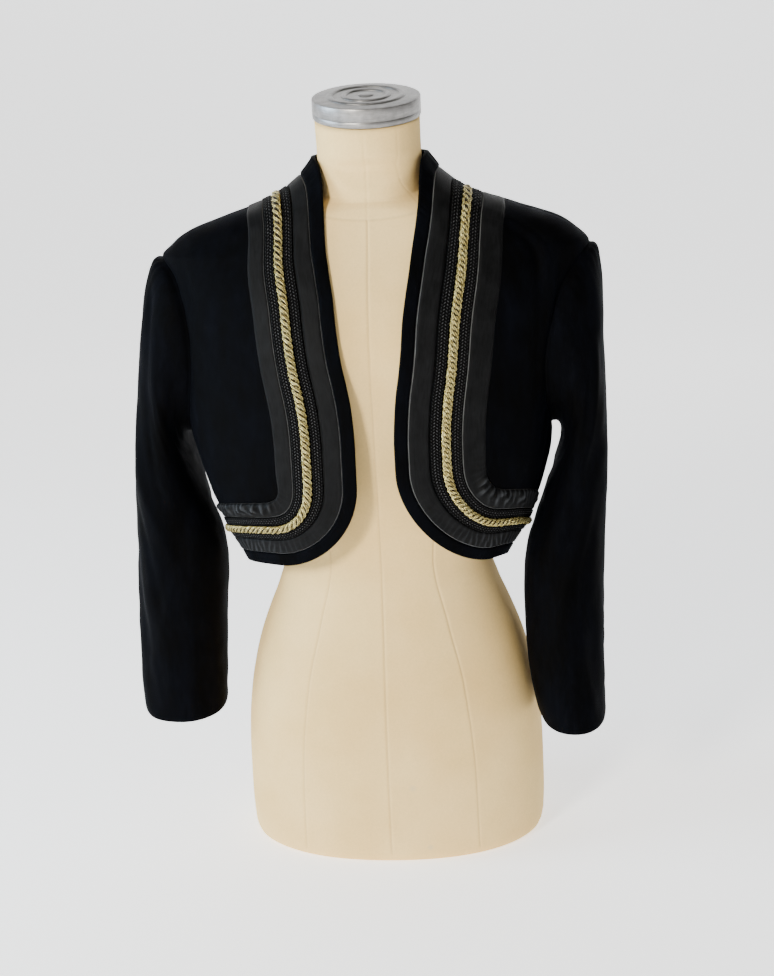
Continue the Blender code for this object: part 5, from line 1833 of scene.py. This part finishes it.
@dataclass
class DressForm:
    """The covered form: smooth panels with sewn seams, and a turned metal cap."""

    body: JacketBody
    cover: bpy.types.Material
    metal: TurnedMetal
    squareness: float = 2.2
    bust_x: float = 0.086
    bust_height: float = 0.535
    bust_rise: float = 0.024
    bust_spread: float = 0.042
    fit_low: float = 0.45
    fit_low_fade: float = 0.04
    fit_high_fade: float = 0.012
    fit_softness: float = 0.001
    seam_parts: tuple[float, ...] = (0.0, 0.007, 0.016, 0.032, 0.062)
    plain_cells: int = 12
    seam_depth: float = 0.0006
    seam_reach: float = 0.0007
    seam_start: float = 0.012
    welt_height: float = 0.0003
    welt_place: float = 0.0030
    welt_reach: float = 0.0018
    neck_seam_depth: float = 0.0005
    neck_seam_reach: float = 0.0012
    neck_zone: tuple[float, float] = (0.69, 0.745)
    neck_step: float = 0.0011
    plain_step: float = 0.0048
    neck_seam_side: float = 0.7270
    neck_seam_front: float = 0.0190
    neck_seam_back: float = 0.0050
    cap_radius: float = 0.0575
    cap_band: float = 0.0205
    cap_tilt: float = math.radians(12.4)
    cap_roll: float = math.radians(1.0)
    cap_rings: tuple[tuple[float, float, float], ...] = (
        # radius, half_width, height
        (0.0385, 0.0034, 0.0017),
        (0.0235, 0.0032, 0.0017),
    )
    boss_radius: float = 0.0080
    boss_tip: float = 0.0006
    boss_height: float = 0.0018
    cap_sides: int = 128
    princess: tuple[tuple[float, float], ...] = (
        # height, distance of the princess seam from the middle
        (0.0, 0.098),
        (0.1, 0.096),
        (0.2, 0.086),
        (0.27, 0.07),
        (0.34, 0.056),
        (0.43, 0.07),
        (0.535, 0.086),
        (0.64, 0.09),
        (0.7, 0.078),
        (0.727, 0.052),
        (0.76, 0.034),
        (0.812, 0.034),
    )

    def seam_turns(self, heights: np.ndarray) -> np.ndarray:
        """Turn of each of the eight seams at each height, from the centre front round."""
        half = smooth_column(FORM_SECTIONS, 1, heights)
        distance = smooth_column(self.princess, 1, heights)
        turn = np.arcsin(np.clip(distance / half, 0, 0.9) ** (self.squareness / 2))
        quarter = math.pi / 2 + 0 * turn
        right = [0 * turn, turn, quarter, math.pi - turn, 2 * quarter]
        left = [2 * math.pi - seam for seam in right[-2:0:-1]]
        return np.stack(right + left + [4 * quarter], -1)

    def section_reach(self, side: Side, directions: np.ndarray, heights: np.ndarray) -> np.ndarray:
        """Distance from the axis to the jacket's section in each horizontal direction."""
        half, front, back, squareness = self.body.sizes(side, heights)
        depth = np.where(directions[..., 1] < 0, front, back)
        wide = np.abs(directions[..., 0]) / half
        deep = np.abs(directions[..., 1]) / depth
        return (wide**squareness + deep**squareness) ** (-1 / squareness)

    def kept_inside(self, points: np.ndarray) -> np.ndarray:
        """The form's points, drawn in where they would come too near the jacket's inner side."""
        kept = points.copy()
        away = np.hypot(points[..., 0], points[..., 1])
        directions = points / away[..., None]
        heights, rise = points[..., 2], self.body.slope_rise
        for side in Side:
            reach = self.section_reach(side, directions, heights)
            lower = self.section_reach(side, directions, heights - rise)
            upper = self.section_reach(side, directions, heights + rise)
            slope = (upper - lower) / (2 * rise)
            allowed = reach - (CLOTH + FORM_CLEARANCE) * np.sqrt(1 + slope**2)
            limit = np.minimum(away, allowed)
            blend = np.clip(0.5 + 0.5 * (allowed - away) / self.fit_softness, 0, 1)
            limit = limit - self.fit_softness * blend * (1 - blend)
            zone = smooth_step((heights - self.fit_low) / self.fit_low_fade)
            zone = zone * smooth_step((self.body.neck_height - heights) / self.fit_high_fade)
            share = (away + (limit - away) * zone) / away
            mine = points[..., 0] * side.value >= 0
            kept[..., :2] = np.where(
                mine[..., None], points[..., :2] * share[..., None], kept[..., :2]
            )
        return kept

    def row_step(self, height: float) -> float:
        """Distance between rows: closer together round the neck's seam."""
        low, high = self.neck_zone
        return self.neck_step if low < height < high else self.plain_step

    def rings(self) -> tuple[np.ndarray, np.ndarray, np.ndarray]:
        """Points of the cover, their flat places, and their distance to the nearest seam."""
        known = np.array([row[0] for row in FORM_SECTIONS])
        heights = [
            np.linspace(low, high, max(2, int((high - low) / self.row_step(low))) + 1)[:-1]
            for low, high in zip(known[:-1], known[1:])
        ]
        heights = np.concatenate([*heights, known[-1:]])
        seams = self.seam_turns(heights)
        near = np.array(self.seam_parts)
        plain = np.linspace(near[-1], 1 - near[-1], self.plain_cells + 1)[1:-1]
        eased = np.concatenate([near, plain, 1 - near[:0:-1]])
        spans = zip(seams.T[:-1], seams.T[1:])
        turns = np.concatenate(
            [start[:, None] + (end - start)[:, None] * eased for start, end in spans], axis=1
        )
        power = 2 / self.squareness
        across = signed_power(np.sin(turns), power)
        deep = signed_power(np.cos(turns), power)
        half, front, back, centre, tilt = (
            smooth_column(FORM_SECTIONS, k, heights)[:, None] for k in range(1, 6)
        )
        x = -half * across
        y = np.where(deep > 0, -front * deep, -back * deep)
        level = heights[:, None]
        bust = np.exp(
            -(((np.abs(x) - self.bust_x) ** 2 + (level - self.bust_height) ** 2))
            / (2 * self.bust_spread**2)
        )
        y = y - self.bust_rise * bust * np.clip(deep, 0, 1) ** 0.5
        z = level + y * np.tan(np.radians(tilt))
        points = self.kept_inside(np.stack([x, y + centre, z], -1))
        around = row_sums(np.linalg.norm(np.roll(points, -1, axis=1) - points, axis=2))
        flat = grid_of(around, heights)
        seam_runs = around[:, :: len(eased)]
        gaps = np.abs(around[:, :-1, None] - seam_runs[:, None, :]).min(axis=2)
        return points, flat, gaps

    def make_body(self) -> np.ndarray:
        """The covered body. Gives back the middle of its top, where the cap sits."""
        points, flat, gaps = self.rings()
        outward = tube_directions(points)
        middle = points.mean(axis=1, keepdims=True)
        sewn = (flat[:, :1, 1] > self.seam_start) * np.ones_like(gaps)
        seam = swell(gaps, 0.0, self.seam_reach) * sewn
        welt = self.welt_height * swell(gaps, self.welt_place, self.welt_reach) * sewn
        forward = -unit(points[..., :2] - middle[..., :2])[..., 1]
        dip = np.where(forward > 0, self.neck_seam_front, self.neck_seam_back)
        level = self.neck_seam_side - dip * np.abs(forward) ** 1.5
        neck = swell(points[..., 2], level, self.neck_seam_reach)
        below = smooth_step((level + 0.001 - points[..., 2]) / 0.002)
        seam = seam * np.where(forward > 0, below, 1.0)
        lift = welt - self.seam_depth * seam - self.neck_seam_depth * neck
        points = points + outward * lift[..., None]
        # The groove measure paints shade along the seams and the neck seam
        cover = Patch(points, flat, outward, True, np.maximum(seam, 0.8 * neck))
        piece = piece_of("cover_form_body", [cover], capped=True)
        stand_in(piece, "form_body", self.cover)
        return points[-1].mean(axis=0)

    def cap_profile(self) -> list[tuple[float, float]]:
        """(radius, height) up the cap's band and over its raised rings to its centre boss."""
        profile = [
            # radius, height
            (self.cap_radius - 0.0014, 0.0),
            (self.cap_radius - 0.0004, 0.0004),
            (self.cap_radius, 0.0014),
            (self.cap_radius, 0.0060),
            (self.cap_radius - 0.0003, 0.0064),
            (self.cap_radius, 0.0068),
            (self.cap_radius, self.cap_band - 0.0016),
            (self.cap_radius - 0.0005, self.cap_band - 0.0004),
            (self.cap_radius - 0.0016, self.cap_band),
            (0.0540, self.cap_band + 0.0001),
            (0.0520, self.cap_band + 0.0004),
        ]
        for radius, width, height in self.cap_rings:
            for turn in np.linspace(0, math.pi, 9):
                rise = self.cap_band + 0.0006 + height * math.sin(turn)
                profile.append((radius + width * math.cos(turn), rise))
        for turn in np.linspace(0, math.pi / 2, 7):
            rise = self.cap_band + 0.0008 + self.boss_height * math.sin(turn)
            profile.append((self.boss_radius * math.cos(turn) + self.boss_tip, rise))
        return profile

    def cap_place(self, seat: np.ndarray) -> Matrix:
        """What brings the upright cap onto its tilted seat."""
        rise = SEAM_GAP + self.cap_radius * math.sin(abs(self.cap_roll))
        place = Matrix.Translation(
            (
                seat[0],
                seat[1] - rise * math.sin(self.cap_tilt),
                seat[2] + rise * math.cos(self.cap_tilt),
            )
        )
        turn = Matrix.Rotation(self.cap_roll, 4, "Y") @ Matrix.Rotation(self.cap_tilt, 4, "X")
        return place @ turn

    def make_cap(self, seat: np.ndarray) -> bpy.types.Object:
        """The cap: a bright band, a dished top with raised rings, and a centre boss."""
        profile = self.cap_profile()
        radius, level = profile[0]
        bpy.ops.object.select_all(action="DESELECT")
        bpy.ops.mesh.primitive_circle_add(vertices=self.cap_sides, radius=radius, fill_type="NGON")
        piece = bpy.context.object
        piece.name = piece.data.name = "metal_form_cap"
        bpy.ops.object.mode_set(mode="EDIT")
        bpy.ops.mesh.select_mode(type="FACE")
        bpy.ops.mesh.select_all(action="SELECT")
        for wider, higher in profile[1:]:
            step = {"value": (0.0, 0.0, higher - level)}
            bpy.ops.mesh.extrude_region_move(TRANSFORM_OT_translate=step)
            share = wider / radius
            bpy.ops.transform.resize(value=(share, share, 1.0), center_override=(0.0, 0.0, higher))
            radius, level = wider, higher
        bpy.ops.mesh.select_all(action="SELECT")
        bpy.ops.mesh.normals_make_consistent(inside=False)
        bpy.ops.object.mode_set(mode="OBJECT")
        place = self.cap_place(seat)
        piece.matrix_world = place
        make_active(piece)
        bpy.ops.object.transform_apply(location=True, rotation=True, scale=True)
        bpy.ops.object.shade_smooth_by_angle(angle=math.radians(40))
        stand_in(piece, "form_cap", self.metal.make(place.inverted()))
        return piece

    def make(self) -> None:
        """The body, then its cap."""
        self.make_cap(self.make_body())


LAMPS = (
    # name, place, aim, size, power, colour
    ("key", (-1.25, -2.65, 1.5), (0, 0, 0.45), 0.55, 118.0, (1.0, 0.96, 0.88)),
    ("window", (-2.4, -0.5, 1.1), (0, 0, 0.45), 1.2, 80.0, (0.66, 0.83, 1.0)),
    ("top", (0.0, -0.2, 2.9), (0, 0, 0.5), 1.6, 10.0, (1.0, 1.0, 1.0)),
)


@dataclass
class Studio:
    """Pale paper sweep, soft lights and the camera at the photograph's angle."""

    paper: bpy.types.Material
    distance: float = 1.85
    height: float = 0.87
    azimuth: float = math.radians(5.0)
    pitch: float = math.radians(14.2)
    roll: float = math.radians(2.57)
    sideways: float = 0.002
    focal_px: float = 1695.0
    picture_px: tuple[int, int] = (774, 976)
    air: Colour = (1.0, 0.98, 0.94)
    air_strength: float = 0.07
    sweep_radius: float = 1.6
    wall_distance: float = 4.6
    wall_height: float = 7.0
    sweep_half_width: float = 9.0

    def sweep(self) -> bpy.types.Object:
        """Floor and backdrop in one curved sheet."""
        radius, wall_y, half_width = self.sweep_radius, self.wall_distance, self.sweep_half_width
        floor = [(-9.0, 0.0), (-3.0, 0.0), (0.0, 0.0), (wall_y - radius, 0.0)]
        for turn in np.linspace(0, math.pi / 2, 17)[1:]:
            floor.append((wall_y - radius + radius * math.sin(turn), radius * (1 - math.cos(turn))))
        floor.append((wall_y, self.wall_height))
        line = np.array(floor)
        columns = np.linspace(-half_width, half_width, 7)
        x, y = np.broadcast_arrays(columns[None], line[:, :1])
        points = np.stack([x, y, np.broadcast_to(line[:, 1:], x.shape)], -1)
        up = np.broadcast_to(np.array([0.0, -0.5, 1.0]), points.shape)
        piece = piece_of("studio_sweep", [Patch(points, points[..., :2], up)])
        piece.data.materials.append(self.paper)
        LOG.info("%s: %d faces", piece.name, len(piece.data.polygons))
        return piece

    def light(
        self, name: str, place: tuple, aim: tuple, size: float, power: float, colour: tuple
    ) -> None:
        """A soft square light aimed at a point."""
        turn = (Vector(aim) - Vector(place)).to_track_quat("-Z", "Y").to_euler()
        bpy.ops.object.light_add(type="AREA", location=place, rotation=turn)
        holder = bpy.context.object
        holder.name = name
        holder.data.size = size
        holder.data.energy = power
        holder.data.color = colour

    def lights(self) -> None:
        """A warm key from the left front, a cool window on the left, a weak top light and pale air."""
        for lamp in LAMPS:
            self.light(*lamp)
        world = bpy.data.worlds.new("studio_air")
        bpy.context.scene.world = world
        world.use_nodes = True
        background = world.node_tree.nodes["Background"]
        background.inputs["Color"].default_value = (*self.air, 1.0)
        background.inputs["Strength"].default_value = self.air_strength

    def camera(self) -> None:
        """The camera, placed and turned as for the photograph."""
        cos_a, sin_a = math.cos(self.azimuth), math.sin(self.azimuth)
        right = np.array([cos_a, sin_a, 0.0])
        ahead = np.array([-sin_a, cos_a, 0.0])
        place = -ahead * self.distance + right * self.sideways + np.array([0, 0, self.height])
        forward = ahead * math.cos(self.pitch) - np.array([0, 0, 1.0]) * math.sin(self.pitch)
        up = np.cross(right, forward)
        cos_r, sin_r = math.cos(self.roll), math.sin(self.roll)
        across = right * cos_r - up * sin_r
        upward = right * sin_r + up * cos_r
        turn = Matrix(np.stack([across, upward, -forward], -1).tolist()).to_euler()
        bpy.ops.object.camera_add(location=place.tolist(), rotation=turn)
        holder = bpy.context.object
        holder.data.sensor_width = 36.0
        holder.data.lens = self.focal_px / max(self.picture_px) * holder.data.sensor_width
        bpy.context.scene.camera = holder

    def make(self) -> None:
        """The sweep, the lights and the camera."""
        self.sweep()
        self.lights()
        self.camera()


def main() -> None:
    logging.basicConfig(level=logging.INFO, format="%(name)s %(message)s")
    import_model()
    bpy.ops.object.select_all(action="DESELECT")
    velvet, braid = Velvet().make(), BraidYarn().make()
    inner = RibbonWeave("inner_ribbon", BORDER[1].right_width).make()
    outer = RibbonWeave("outer_ribbon", BORDER[5].right_width).make()
    finishes = {
        "edge_band": velvet,
        "inner_ribbon": inner,
        "inner_braid": braid,
        "gold_cord": GoldThread().make(),
        "outer_braid": braid,
        "outer_ribbon": outer,
    }
    Studio(Paper().make()).make()
    body = JacketBody()
    pattern = Pattern(body)
    DressForm(body, FormCover().make(), TurnedMetal()).make()
    bodice = Bodice(pattern, velvet)
    for side in Side:
        bodice.front(side)
        Border(side, pattern, finishes).make()
        SetInSleeve(side, body, velvet).make()
    NeckBand(*bodice.back(), velvet).make()


if __name__ == "__main__":
    main()
